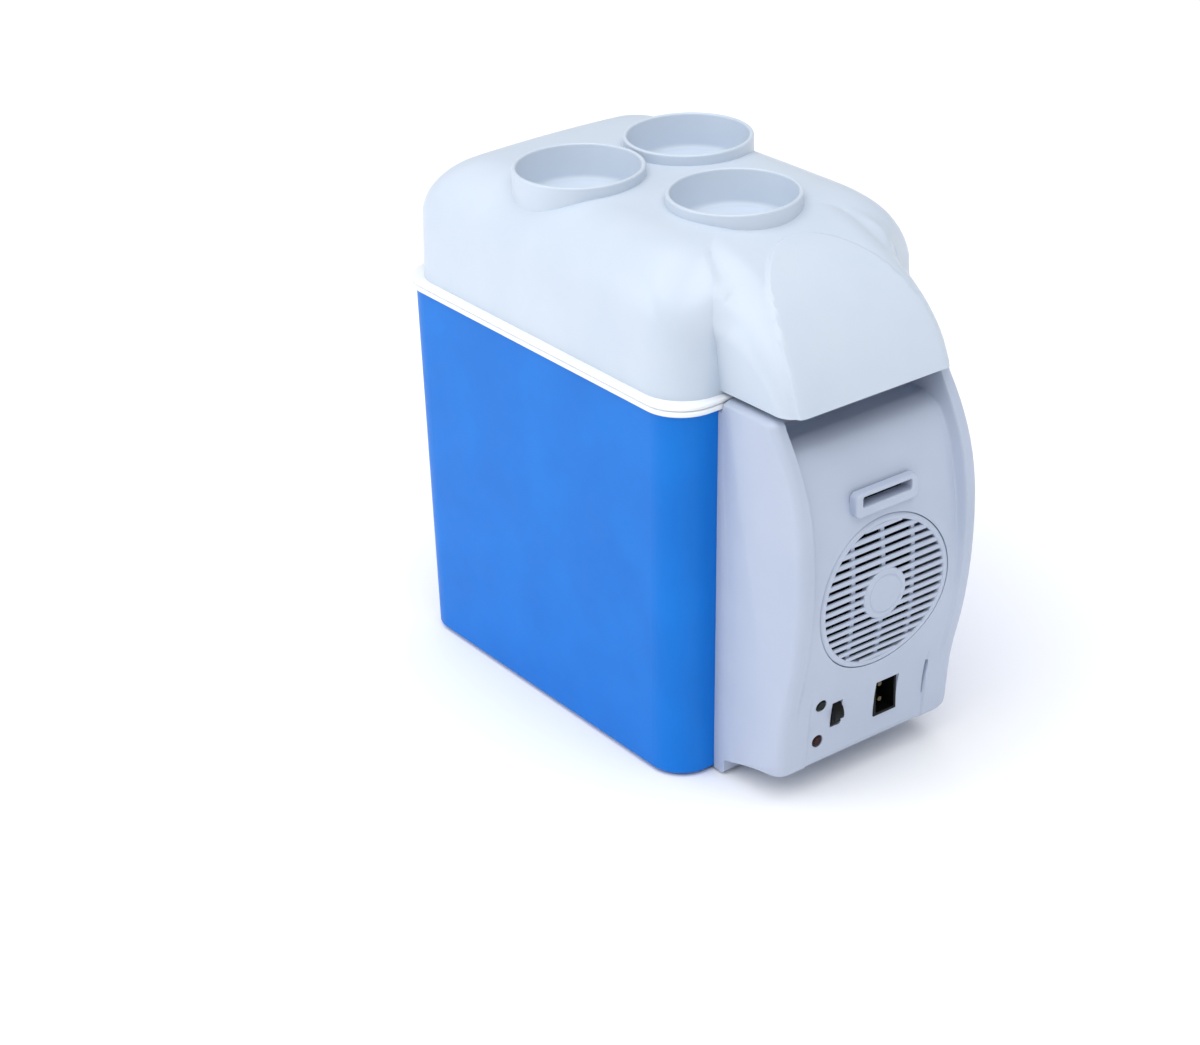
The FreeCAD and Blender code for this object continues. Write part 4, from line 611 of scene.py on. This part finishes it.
def cup_solid(x, depth):
    """Outer wall of a drinks well with its rounded rim."""
    rim = rolled((CUP_RADIUS - CUP_EDGE, CUP_RIM - CUP_EDGE), CUP_EDGE, 0, 90)
    under = CUP_FLOOR - CUP_SKIN
    profile = [(AXIS, under), (CUP_RADIUS, under)] + rim + [(AXIS, CUP_RIM)]
    return revolved("cup", profile, (x, REAR - depth, 0))


def well_solid(x, depth):
    """Room of a drinks well: flat floor, rounded foot, slightly flared wall and lip."""
    mouth = CUP_RADIUS - CUP_WALL
    above = CUP_RIM + 4
    foot = rolled((mouth - CUP_FLARE - CUP_FOOT, CUP_FLOOR + CUP_FOOT), CUP_FOOT, -90, 0)
    lip = rolled((mouth + CUP_EDGE, CUP_RIM - CUP_EDGE + 0.001), CUP_EDGE, 180, 90)
    profile = [(AXIS, CUP_FLOOR)] + foot + lip + [(mouth + CUP_EDGE, above), (AXIS, above)]
    return revolved("well", profile, (x, REAR - depth, 0))


def build_lid():
    """Block and hood in one skin, hollow under the hood, with the three wells let in."""
    block = lid_block()
    nose = trim(lid_nose(), (0, 0, NOSE_LOW), (0, 0, -1))
    tidy_mesh(nose)
    hollow = trim(lid_nose(NOSE_WALL), (0, REAR - LID_FRONT - 1.5, 0), (0, 1, 0))
    tidy_mesh(hollow)
    lid = combine(block, nose, "UNION")
    blend_root(lid)
    lid = combine(lid, hollow, "DIFFERENCE")
    lid = combine(lid, joined("cups", [cup_solid(*place) for place in CUP_PLACES]), "UNION")
    lid = combine(lid, joined("wells", [well_solid(*place) for place in CUP_PLACES]), "DIFFERENCE")
    tidy_mesh(lid)
    finish_piece(lid, "lid_outer_shell", "lid", pale_abs, ("lid_shell",))


def build_lid_foam():
    """Bead foam core: the lid's block one wall in, with room round the wells."""
    inset = 4.0
    rows = []
    for rise, grow in ((0, 0), (0.5, 0), (0.82, 2), (0.95, 8), (1, 16)):
        outline = ring(LID_HALF - inset - grow, LID_BACK + inset + grow, LID_FRONT - inset - grow,
                       LID_CORNER - inset - grow / 2, 0)
        top = crown(REAR - outline[:, 1], outline[:, 0]) - 8
        outline[:, 2] = LID_BASE + 0.5 + rise * (top - LID_BASE)
        rows.append(outline)
    core = solid("lid_core", np.stack(rows))
    under, reach = CUP_FLOOR - CUP_SKIN - 1, CUP_RADIUS + 1
    posts = [revolved("post", [(AXIS, under), (reach, under), (reach, CUP_RIM), (AXIS, CUP_RIM)],
                      (x, REAR - depth, 0)) for x, depth in CUP_PLACES]
    core = combine(core, joined("posts", posts), "DIFFERENCE")
    tidy_mesh(core)
    finish_piece(core, "lid_bead_foam", "lid", bead_foam, ("lid_foam",))


# ------------------------------------------------------------------ white band, tub and tray
TUB_HALF = 76.0
TUB_BACK = 15.0
TUB_FRONT = 236.0
TUB_CORNER = 16.0
TUB_TAPER = 4.0
END_TAPER = 1.8 * TUB_TAPER
TUB_WALL = 2.0
TUB_FOOT = 8.0
TUB_LIP = 2.5
BAND_CORNER = 23.5
BAND_EDGE = 1.3
SEAL_CORNER = 21.0
SEAL_OUTER = 9.15
SEAL_INNER = 4.85
SEAL_TALL = 1.5
PLUG_EDGE = 4.0


def tub_station(share_down, z, grow=0.0):
    """Rounded rectangle of the tub's inside at a share of the way down its taper."""
    return (TUB_HALF - TUB_TAPER * share_down + grow, TUB_BACK + END_TAPER * share_down - grow,
            TUB_FRONT - END_TAPER * share_down + grow, TUB_CORNER + grow, z)


def flange_station(inset, z):
    """Rounded rectangle of the white band, a distance in from its edge."""
    return (BAND_HALF - inset, inset - BAND_PROUD, CASE_DEPTH + BAND_PROUD - inset,
            BAND_CORNER - inset, z)


def mouth_station(grow, corner, z):
    """Rounded rectangle of the tub's mouth, a distance outside it."""
    return (TUB_HALF + grow, TUB_BACK - grow, TUB_FRONT + grow, corner, z)


def build_liner():
    """From the flange's edge over the rim, down the inside and across the floor, then the
    outside of the tub back up to the flange."""
    floor = LINER_LOW[2] + TUB_WALL
    depth = BAND_TOP - floor
    stations = [tub_station(0.0, CASE_TOP, TUB_WALL)]
    edge = [(6.0, CASE_TOP)] + rolled((BAND_EDGE, CASE_TOP + BAND_EDGE), -BAND_EDGE, 90, 0)
    edge += rolled((BAND_EDGE, BAND_TOP - BAND_EDGE), -BAND_EDGE, 0, -90)
    stations += [flange_station(inset, z) for inset, z in edge]
    for turn in np.radians(np.linspace(0, 90, 6)):
        stations.append(tub_station(0.0, BAND_TOP - TUB_LIP * (1 - math.cos(turn)),
                                    TUB_LIP * (1 - math.sin(turn))))
    for share in np.linspace(0.05, 0.96, 12):
        stations.append(tub_station(share, BAND_TOP - share * depth))
    for turn in np.radians(np.linspace(15, 90, 6)):
        stations.append(tub_station(1.0, floor + TUB_FOOT * (1 - math.sin(turn)),
                                    -TUB_FOOT * (1 - math.cos(turn))))
    inside = np.stack([ring(*station) for station in stations])
    edge = inside[-1]
    middle = np.array([0.0, REAR - (TUB_BACK + TUB_FRONT) / 2, floor])
    inner = [(edge + (middle - edge) * share)[None] for share in (0.35, 0.7, 1.0)]
    under = [tub_station(0.0, CASE_TOP, TUB_WALL),
             tub_station(0.5, CASE_TOP - 0.5 * depth, TUB_WALL),
             tub_station(1.0, LINER_LOW[2], TUB_WALL)]
    shell = solid("tub", np.concatenate([inside] + inner), caps=False)
    skin = solid("tub_back", np.stack([ring(*station) for station in under]), caps=False,
                 extra=[range(2 * len(edge), 3 * len(edge))])
    tub = joined("tub_white", [shell, skin])
    tidy_mesh(tub)
    finish_piece(tub, "white_tub", "root", white_abs, ("inner_liner",))


def build_tray():
    """Lid flange with rolled edges, the seal's groove, and the plug in the tub's mouth."""
    low, high = TRAY_BOTTOM, LID_BASE
    drop = TRAY_LOW[2]
    edge = [(8.0, high)] + rolled((BAND_EDGE, high - BAND_EDGE), -BAND_EDGE, 270, 360)
    edge += rolled((BAND_EDGE, low + BAND_EDGE), -BAND_EDGE, 0, 90)
    stations = [flange_station(inset, z) for inset, z in edge]
    inner_corner = SEAL_CORNER - 2
    stations += [mouth_station(SEAL_OUTER, SEAL_CORNER, low),
                 mouth_station(SEAL_OUTER, SEAL_CORNER, low + SEAL_TALL),
                 mouth_station(SEAL_INNER, inner_corner, low + SEAL_TALL),
                 mouth_station(SEAL_INNER, inner_corner, low),
                 mouth_station(-1.0, 15.0, low), mouth_station(-1.5, 15.0, low - 0.5)]
    for turn in np.radians(np.linspace(0, 90, 7)):
        inset = PLUG_EDGE * (1 - math.cos(turn))
        stations.append(mouth_station(-2.3 - inset, 14.0 - 0.6 * inset,
                                      drop + PLUG_EDGE * (1 - math.sin(turn))))
    stations += [mouth_station(-14.0, 10.0, drop), mouth_station(-16.0, 10.0, drop + 1.2),
                 mouth_station(-18.0, 10.0, drop + 1.2)]
    tray = carried("tray", stations)
    finish_piece(tray, "lid_underside", "lid", white_abs, ("lid_liner",))


# ------------------------------------------------------------------ front housing
def case_front(z):
    """Depth of the tub's drafted front face."""
    return CASE_BASE_DEPTH + (CASE_DEPTH - CASE_BASE_DEPTH) * (z - CASE_LOW[2]) / (CASE_TOP - CASE_LOW[2])


def even(points, count):
    """Straight runs through points, in even steps."""
    p = np.array(points, float)
    t = np.concatenate([[0], np.cumsum(np.linalg.norm(np.diff(p, axis=0), axis=1))])
    s = np.linspace(0, t[-1], count)
    return np.column_stack([np.interp(s, t, p[:, 0]), np.interp(s, t, p[:, 1])])


SLOT_LIFT = 1.9
UNIT_BOTTOM = 11.0
UNIT_WALL = 2.6
ROOM_HALF = 56.5
CHEEK_STEP = (50.6, 53.4)
CHIN_STEP = (41.4, 42.8)
CHIN_PROUD = 1.8
CHIN_TOP = 70.0
LAMP_HOLE = 3.75
CATCH_SIDE = 41.2
CATCH_LOW = 35.0
CATCH_HIGH = 57.5
FRONT_FOOT = UNIT_BOTTOM + 12
DECK_HEIGHT = CASE_TOP - 11
DECK_DEPTH = CASE_DEPTH + 18
FOOT_DEPTH = 9.0
LEDGE_DEPTH = CASE_DEPTH + BAND_PROUD + 1.0
INTO_CASE = 8.0
SIDE_ROLL = 5.0
CORNER_LIFT = 10.0


def front_curve(points, start):
    """Smooth front edge from the foot up: points are (distance behind the foremost one,
    share of the height up to the tub's rim)."""
    rise = CASE_TOP - FRONT_FOOT
    return spline([(UNIT_REACH - back, FRONT_FOOT + share * rise) for back, share in points]
                  + start, 151)


def cheek_curve():
    return front_curve([(18.8, 0), (17.8, 0.055), (15.2, 0.16), (8.6, 0.29), (1.6, 0.49),
                        (0.1, 0.635), (1.4, 0.745), (8.6, 0.88)],
                       [(UNIT_REACH - 22.2, UNIT_TOP - 4.5)])


def panel_curve():
    return front_curve([(19.6, 0), (19, 0.085), (16, 0.175), (9.8, 0.29), (5.0, 0.475),
                        (5.4, 0.615), (8.6, 0.745), (13.5, 0.85)],
                       [(UNIT_REACH - 22.5, DECK_HEIGHT - 4), (UNIT_REACH - 32, DECK_HEIGHT)])


def panel_depth(z):
    """Depth of the panel's face at a height."""
    curve = panel_curve()
    return np.interp(z, curve[:, 1], curve[:, 0])


def outline(front, top_run):
    """Side outline from the foot round the front to the top, the same count for all."""
    foot = case_front(0) + FOOT_DEPTH
    toe = front[0]
    rear_top = CASE_TOP - 0.3
    under = even([(case_front(1.5) - INTO_CASE, 1.5), (foot - 1.5, 1.5), (foot, 3),
                  (foot, UNIT_BOTTOM - 1.5), (foot + 1.5, UNIT_BOTTOM),
                  (toe[0] - 14, UNIT_BOTTOM + 3)], 44)
    corner = spline([(toe[0] - 14, UNIT_BOTTOM + 3), (toe[0] - 8.2, UNIT_BOTTOM + 4),
                     (toe[0] - 3.2, UNIT_BOTTOM + 6.8), (toe[0] - 0.5, UNIT_BOTTOM + 9.6),
                     tuple(toe)], 16)[1:]
    tail = even([top_run[-1], (LEDGE_DEPTH + 1, UNIT_TOP), (LEDGE_DEPTH, UNIT_TOP - 1),
                 (LEDGE_DEPTH, rear_top), (case_front(rear_top) - INTO_CASE, rear_top)], 34)[1:]
    return np.concatenate([under, corner, front[1:], top_run[1:], tail])


def cheek_outline():
    front = cheek_curve()
    top = spline([tuple(front[-1]), (UNIT_REACH - 24.0, UNIT_TOP - 1.3),
                  (UNIT_REACH - 27.5, UNIT_TOP)], 12)
    run = np.concatenate([top, even([tuple(top[-1]), (DECK_DEPTH - 2, UNIT_TOP)], 30)[1:]])
    return outline(front, run)


def panel_outline():
    front = panel_curve()
    run = even([tuple(front[-1]), (DECK_DEPTH + 5, DECK_HEIGHT), (DECK_DEPTH + 1.5, DECK_HEIGHT + 1.5),
                (DECK_DEPTH, DECK_HEIGHT + 5), (DECK_DEPTH, UNIT_TOP - 1.5),
                (DECK_DEPTH - 2, UNIT_TOP)], 41)
    return outline(front, run)


def chin_outline(cheek, panel):
    """The cheek's outline, kept proud of the panel by a step that grows up to a short ramp."""
    z = panel[:, 1]
    step = CHIN_PROUD * np.clip((z - 26) / 24, 0, 1) * (1 - smoothstep(46, 66, z))
    front = (panel[:, 0] > DECK_DEPTH) & (z < CHIN_TOP)
    chin = cheek.copy()
    chin[front, 0] = np.maximum(cheek[front, 0], panel[front, 0] + step[front])
    return chin


def shrunk(curve, amount):
    """Outline moved inwards along its own normals."""
    step = np.gradient(curve, axis=0)
    normal = np.column_stack([step[:, 1], -step[:, 0]])
    normal /= np.maximum(np.linalg.norm(normal, axis=1), 1e-9)[:, None]
    return curve - normal * amount


def drawn_in(curve, amount):
    """Outline for a rolled side: the front moves back and the top comes down, by an amount
    that fades out towards the tub and towards the underside."""
    result = curve.copy()
    result[:, 0] -= amount * smoothstep(LEDGE_DEPTH + 2, LEDGE_DEPTH + 14, curve[:, 0])
    result[:, 1] -= 0.5 * amount * smoothstep(UNIT_TOP - 16, UNIT_TOP, curve[:, 1])
    return result


def housing_stations():
    """Places across the half width: close together at the rolled side, the cheek's step
    and the chin's step."""
    roll = UNIT_HALF - SIDE_ROLL * (1 - np.cos(np.radians(np.linspace(0, 90, 10))))
    half = np.concatenate([roll, np.linspace(56.0, 53.8, 3), np.linspace(*CHEEK_STEP[::-1], 11),
                           np.linspace(49.5, 44.0, 5), np.linspace(*CHIN_STEP[::-1], 7),
                           np.linspace(40.0, 0.0, 26)])
    return np.concatenate([-half, half[::-1][1:]])


def housing_room(panel):
    """Room inside the housing: the panel's outline one wall in, closed inside the tub's wall."""
    inner = shrunk(panel, UNIT_WALL)
    keep = (inner[:, 1] > UNIT_BOTTOM + UNIT_WALL) & (inner[:, 0] > LEDGE_DEPTH - 1) \
        & (inner[:, 1] < DECK_HEIGHT - 2)
    back = case_front(20) - 12
    inner = np.concatenate([[(back, UNIT_BOTTOM + 4)], inner[keep], [(back, DECK_HEIGHT - 3)]])
    return solid("room", np.stack([np.column_stack([np.full(len(inner), place),
                                                    REAR - inner[:, 0], inner[:, 1]])
                                   for place in (-ROOM_HALF, ROOM_HALF)]))


def case_wedge():
    """Block whose front is the tub's drafted face, a hair in front of it."""
    corners = ((-20, 0), (CASE_TOP + 20, 0), (CASE_TOP + 20, 60), (-20, 60))
    return solid("wedge", np.array([[(x, REAR - case_front(z) - 0.05 + back, z)
                                     for z, back in corners] for x in (-80, 80)]))


def build_housing():
    """Side outlines set across the width: cheeks outside, panel between, chins low down;
    the sides roll in as a quarter circle and the low corners lift as another."""
    cheek, panel = cheek_outline(), panel_outline()
    chin = chin_outline(cheek, panel)
    x = housing_stations()
    wide = np.abs(x)[:, None, None]
    height = panel[None, :, 1:]
    on_cheek = smoothstep(*CHEEK_STEP, wide)
    on_chin = smoothstep(*CHIN_STEP, wide) * (1 - smoothstep(50, 68, height))
    low = on_chin * chin[None] + (1 - on_chin) * panel[None]
    profile = on_cheek * np.where(height < CHIN_TOP, chin[None], cheek[None]) + (1 - on_cheek) * low
    side = np.clip((wide[:, 0, 0] - (UNIT_HALF - SIDE_ROLL)) / SIDE_ROLL, 0, 1)
    inset = SIDE_ROLL * (1 - np.sqrt(1 - side ** 2))
    reach = np.clip(wide[:, 0, 0] - (UNIT_HALF - CORNER_LIFT), 0, CORNER_LIFT - 0.01)
    lift = CORNER_LIFT - np.sqrt(CORNER_LIFT ** 2 - reach ** 2)
    rows = []
    for index, place in enumerate(x):
        curve = drawn_in(profile[index], inset[index])
        ahead = smoothstep(case_front(0) + FOOT_DEPTH + 1, UNIT_REACH - 22, curve[:, 0])
        curve[:, 1] += lift[index] * ahead * (1 - smoothstep(UNIT_BOTTOM, 48, curve[:, 1]))
        rows.append(np.column_stack([np.full(len(curve), place), REAR - curve[:, 0], curve[:, 1]]))
    shell = combine(solid("housing", np.stack(rows)), housing_room(panel), "DIFFERENCE")
    shell = combine(shell, joined("holes", housing_holes()), "DIFFERENCE")
    shell = combine(shell, case_wedge(), "DIFFERENCE")
    tidy_mesh(shell)
    finish_piece(shell, "unit_housing", "root", grey_abs, ("front_housing",))


def housing_holes():
    """Cutters for the grille seat, strap slot, lamps, rocker, inlet and the catch groove."""
    reach = UNIT_REACH
    front, back = REAR - reach - 20, REAR - reach + 35
    centre = (0, 0, FAN_HEIGHT)
    seat = GRILLE_RADIUS + 0.35
    holes = [revolved("seat", [(AXIS, back), (seat, back), (seat, front), (AXIS, front)], centre,
                      "y", 160)]
    guide_low, guide_high = span("strap_guide")
    middle = (guide_low[2] + guide_high[2]) / 2 + SLOT_LIFT
    holes.append(box_solid(-18.2, 18.2, reach - 35, reach + 20, middle - 4.2, middle + 4.2))
    for name in ("indicator_green", "indicator_red"):
        low, high = span(name)
        where = ((low[0] + high[0]) / 2, 0, (low[2] + high[2]) / 2)
        holes.append(revolved("lamp", [(AXIS, back), (LAMP_HOLE, back), (LAMP_HOLE, front),
                                       (AXIS, front)], where, "y", 48))
    low, high = span("mode_rocker")
    holes.append(box_solid(low[0] + 0.75, high[0] - 0.75, reach - 35, reach + 20,
                           low[2] - 0.5, high[2] + 0.5))
    low, high = span("inlet_socket")
    holes.append(box_solid(low[0] - 0.1, high[0] + 0.1, reach - 35, reach + 20,
                           low[2] - 0.1, high[2] + 0.1))
    catch = []
    for z, wide in ((CATCH_LOW, 0.5), (CATCH_HIGH, 1.5)):
        face = REAR - panel_depth(z)
        far = CATCH_SIDE + wide
        catch.append([(CATCH_SIDE, face - 4, z), (far, face - 4, z), (far, face + 2, z),
                      (CATCH_SIDE, face + 2, z)])
    holes.append(solid("catch", np.array(catch)))
    return holes


# ------------------------------------------------------------------ fan guard and strap guide
FIELD_RADIUS = GRILLE_RADIUS - 3.6
HUB_RADIUS = 14.7
BAR_PITCH = 5.0
BAR_HALF = 1.35
BAR_BACK = -1.7
RIB_HALF = 1.4
RIB_PLACES = (-21.0, 0.0, 21.0)
SLOT_HALF_WIDE = 17.0
SLOT_HALF_TALL = 3.0


def follow_panel(x, forward, z):
    """Points set off the panel's own curve, forward being the distance in front of it."""
    return np.stack([x + 0 * z, REAR - panel_depth(z) - forward, z + 0 * x], axis=-1)


def turned_on_panel(name, profile, steps=144):
    """Closed (radius, forward) profile turned round the fan's centre, then laid on the curve."""
    profile = np.array(profile, float)
    angle = np.linspace(0, 2 * np.pi, steps, endpoint=False)[:, None]
    x = profile[None, :, 0] * np.cos(angle)
    z = FAN_HEIGHT + profile[None, :, 0] * np.sin(angle)
    points = follow_panel(x, profile[None, :, 1] + 0 * angle, z)
    return solid(name, points, wrap_rows=True, caps=False)


def rounded_bar(half_tall, back, front, radius=0.5, count=4):
    """Rounded rectangle as (height, forward) pairs round a bar's section."""
    tall, low, high = half_tall - radius, back + radius, front - radius
    corners = ((tall, high, 0), (-tall, high, 90), (-tall, low, 180), (tall, low, 270))
    return np.array([pair for x, y, start in corners
                     for pair in rolled((x, y), radius, start, start + 90, count)])


def guard_bar(height):
    """Level bar from rim to rim of the slot field."""
    half = math.sqrt(max((FIELD_RADIUS + 0.6) ** 2 - height ** 2, 1))
    section = rounded_bar(BAR_HALF, BAR_BACK, 0.0)
    x = np.linspace(-half, half, 5)[:, None] + 0 * section[None, :, 0]
    z = FAN_HEIGHT + height + section[None, :, 0] + 0 * x
    return solid("bar", follow_panel(x, section[None, :, 1] + 0 * x, z))


def guard_rib(centre):
    """Upright rib behind the bars."""
    half = math.sqrt(FIELD_RADIUS ** 2 - centre ** 2)
    section = rounded_bar(RIB_HALF, -3.6, -1.5, 0.4)
    z = FAN_HEIGHT + np.linspace(-half, half, 40)[:, None] + 0 * section[None, :, 0]
    x, forward = centre + section[None, :, 0] + 0 * z, section[None, :, 1] + 0 * z
    return solid("rib", follow_panel(x, forward, z))


def build_fan_guard():
    """Rim, hub, level bars and three ribs, all following the panel's bow."""
    outer, inner = GRILLE_RADIUS, FIELD_RADIUS
    rim = turned_on_panel("rim", [(inner, -3.0), (outer, -3.0), (outer, -0.7), (outer - 0.3, -0.1),
                                  (outer - 0.9, 0.45), (outer - 1.7, 0.6), (inner + 0.9, 0.5),
                                  (inner + 0.3, 0.2), (inner, -0.3)])
    hub = turned_on_panel("hub", [(AXIS, -3.0), (HUB_RADIUS, -3.0), (HUB_RADIUS, -0.3),
                                  (HUB_RADIUS - 0.5, 0.25), (HUB_RADIUS - 1.2, 0.4),
                                  (HUB_RADIUS - 3.0, 0.4), (HUB_RADIUS - 3.3, 0.1),
                                  (HUB_RADIUS - 4.0, 0.1), (HUB_RADIUS - 4.3, 0.4), (AXIS, 0.55)], 96)
    rows = int(FIELD_RADIUS / BAR_PITCH)
    bars = [guard_bar(BAR_PITCH * step) for step in range(-rows, rows + 1)]
    ribs = [guard_rib(centre) for centre in RIB_PLACES]
    guard = joined("guard", [rim, hub] + bars + ribs)
    finish_piece(guard, "fan_guard_bars", "root", grey_abs, ("fan_grille",))


def build_strap_guide():
    """Lip round the strap slot: an outer and an inner rounded rectangle joined by a rounded
    front edge, with the slot set high so that the lower bar is the thick one."""
    low, high = span("strap_guide")
    half_wide, half_tall = high[0], (high[2] - low[2]) / 2
    middle = (low[2] + high[2]) / 2
    face = REAR - low[1]
    back = face - 8.4
    turn = np.radians(np.linspace(0, 90, 8))

    def loop(wide, tall, corner, rise, depth):
        """Rounded rectangle round the slot, its middle raised, at one depth."""
        points = []
        for x_side, z_side, start in ((1, 1, 0), (-1, 1, 90), (-1, -1, 180), (1, -1, 270)):
            place = (x_side * (wide - corner), middle + rise + z_side * (tall - corner))
            points += rolled(place, corner, start, start + 90, len(turn))
        x, z = np.array(points).T
        return np.column_stack([x, np.full(len(x), REAR - depth), z])

    outer = [(3.0, back), (3.0, face - 5.6), (0.0, face - 5.6), (0.0, face - 1.6)]
    outer += [(1.6 * (1 - math.cos(a)), face - 1.6 * (1 - math.sin(a))) for a in turn[1:]]
    inner = [(0.7 * (1 - math.sin(a)), face - 0.7 * (1 - math.cos(a))) for a in turn] + [(0.3, back)]
    rows = [loop(half_wide - inset, half_tall - inset, 3.5 - 0.8 * inset, 0.0, depth)
            for inset, depth in outer]
    rows += [loop(SLOT_HALF_WIDE + grow, SLOT_HALF_TALL + grow, 1.2 + grow, SLOT_LIFT, depth)
             for grow, depth in inner]
    guide = solid("guide", np.stack(rows), wrap_rows=True, caps=False)
    finish_piece(guide, "strap_slot_lip", "root", grey_abs, ("strap_guide",))


# ------------------------------------------------------------------ kept CAD nodes
KEPT = {
    blue_pp: ("outer_case", "strap_anchor", "case_hinge_knuckles"),
    pale_abs: ("lid_hinge_knuckles",),
    white_abs: ("cold_air_guard",),
    bead_foam: ("case_foam",),
    gasket_foam: ("module_gasket",),
    foot_rubber: ("case_feet",),
    seal_rubber: ("lid_seal",),
    black_nylon: ("switch_body", "mode_rocker", "inlet_socket", "motor_bracket",
                  "outer_impeller", "inner_impeller"),
    green_lens: ("indicator_green",),
    red_lens: ("indicator_red",),
    contact_brass: ("inlet_pins",),
    circuit: ("control_board",),
    wire_sheath: ("supply_wires",),
    alumina: ("thermoelectric_module",),
    dark_aluminium: ("hot_heatsink",),
    aluminium: ("cold_heatsink", "transfer_block"),
    zinc_steel: ("heatsink_screws", "housing_screws", "case_hinge_screws", "lid_hinge_screws",
                 "hinge_pins", "fan_motor", "rotor_shaft"),
}


def dress_kept_nodes():
    """Gives every node that shows its own mesh its material."""
    for material, names in KEPT.items():
        for name in names:
            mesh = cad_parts[name].data
            mesh.materials.clear()
            mesh.materials.append(material)


# ------------------------------------------------------------------ stage, light and camera
def build_floor():
    """White studio paper, wide enough to fill the view."""
    size = 6000.0
    corners = [(-size, -size), (size, -size), (size, size), (-size, size)]
    mesh = bpy.data.meshes.new("floor")
    mesh.from_pydata([(x * MM, y * MM, 0) for x, y in corners], [], [(0, 1, 2, 3)])
    floor = bpy.data.objects.new("floor", mesh)
    bpy.context.scene.collection.objects.link(floor)
    material = bpy.data.materials.new("studio_paper")
    material.use_nodes = True
    surface = material.node_tree.nodes["Principled BSDF"]
    surface.inputs["Base Color"].default_value = linear("#F7F8FA")
    surface.inputs["Roughness"].default_value = 0.9
    surface.inputs["Specular IOR Level"].default_value = 0.1
    mesh.materials.append(material)


def soft_sun(name, towards, strength, width):
    """Even light from one side of the studio; width is its angle across, in degrees."""
    data = bpy.data.lights.new(name, "SUN")
    data.energy = strength
    data.angle = math.radians(width)
    lamp = bpy.data.objects.new(name, data)
    bpy.context.scene.collection.objects.link(lamp)
    lamp.rotation_mode = "QUATERNION"
    lamp.rotation_quaternion = Vector(towards).to_track_quat("-Z", "Y")


def area_light(name, place, target, size, power):
    """Soft box at a place in metres, turned to a target; power is in watts."""
    data = bpy.data.lights.new(name, "AREA")
    data.shape = "RECTANGLE"
    data.size, data.size_y = size
    data.energy = power
    lamp = bpy.data.objects.new(name, data)
    bpy.context.scene.collection.objects.link(lamp)
    lamp.location = place
    lamp.rotation_mode = "QUATERNION"
    lamp.rotation_quaternion = (Vector(target) - Vector(place)).to_track_quat("-Z", "Y")


def build_light():
    """Even white room, a broad light overhead, a soft box on the left and a weak front fill."""
    world = bpy.data.worlds.new("studio")
    bpy.context.scene.world = world
    world.use_nodes = True
    world.node_tree.nodes["Background"].inputs["Color"].default_value = linear("#FFFFFF")
    world.node_tree.nodes["Background"].inputs["Strength"].default_value = 0.45
    soft_sun("overhead", (0.2, 0.12, -1.0), 2.4, 80)
    area_light("from_left", (-1.0, 0.45, 0.5), (0, 0.05, 0.15), (0.7, 0.7), 3)
    soft_sun("from_front", (0.1, 1.0, -0.2), 0.35, 90)
    bpy.context.scene.view_settings.view_transform = "Standard"


def build_camera():
    """Camera from above the front left corner, with a slight roll."""
    azimuth, elevation, roll = (math.radians(a) for a in (-35.94, 27.33, -2.02))
    distance = 1.5467
    target = Vector((-0.0577, 0.01435, 0.11095))
    back = Vector((math.sin(azimuth) * math.cos(elevation),
                   -math.cos(azimuth) * math.cos(elevation), math.sin(elevation)))
    level = (-back).cross(Vector((0, 0, 1))).normalized()
    upright = level.cross(-back)
    right = level * math.cos(roll) + upright * math.sin(roll)
    up = upright * math.cos(roll) - level * math.sin(roll)
    data = bpy.data.cameras.new("camera")
    data.sensor_width = 36
    data.lens = 82.2507
    camera = bpy.data.objects.new("camera", data)
    bpy.context.scene.collection.objects.link(camera)
    camera.matrix_world = Matrix.Translation(target + back * distance) @ Matrix(
        (right, up, back)).transposed().to_4x4()
    bpy.context.scene.camera = camera


build_camera()
build_floor()
build_light()
dress_kept_nodes()
build_lid()
build_lid_foam()
build_liner()
build_tray()
build_housing()
build_fan_guard()
build_strap_guide()

bpy.context.view_layer.update()
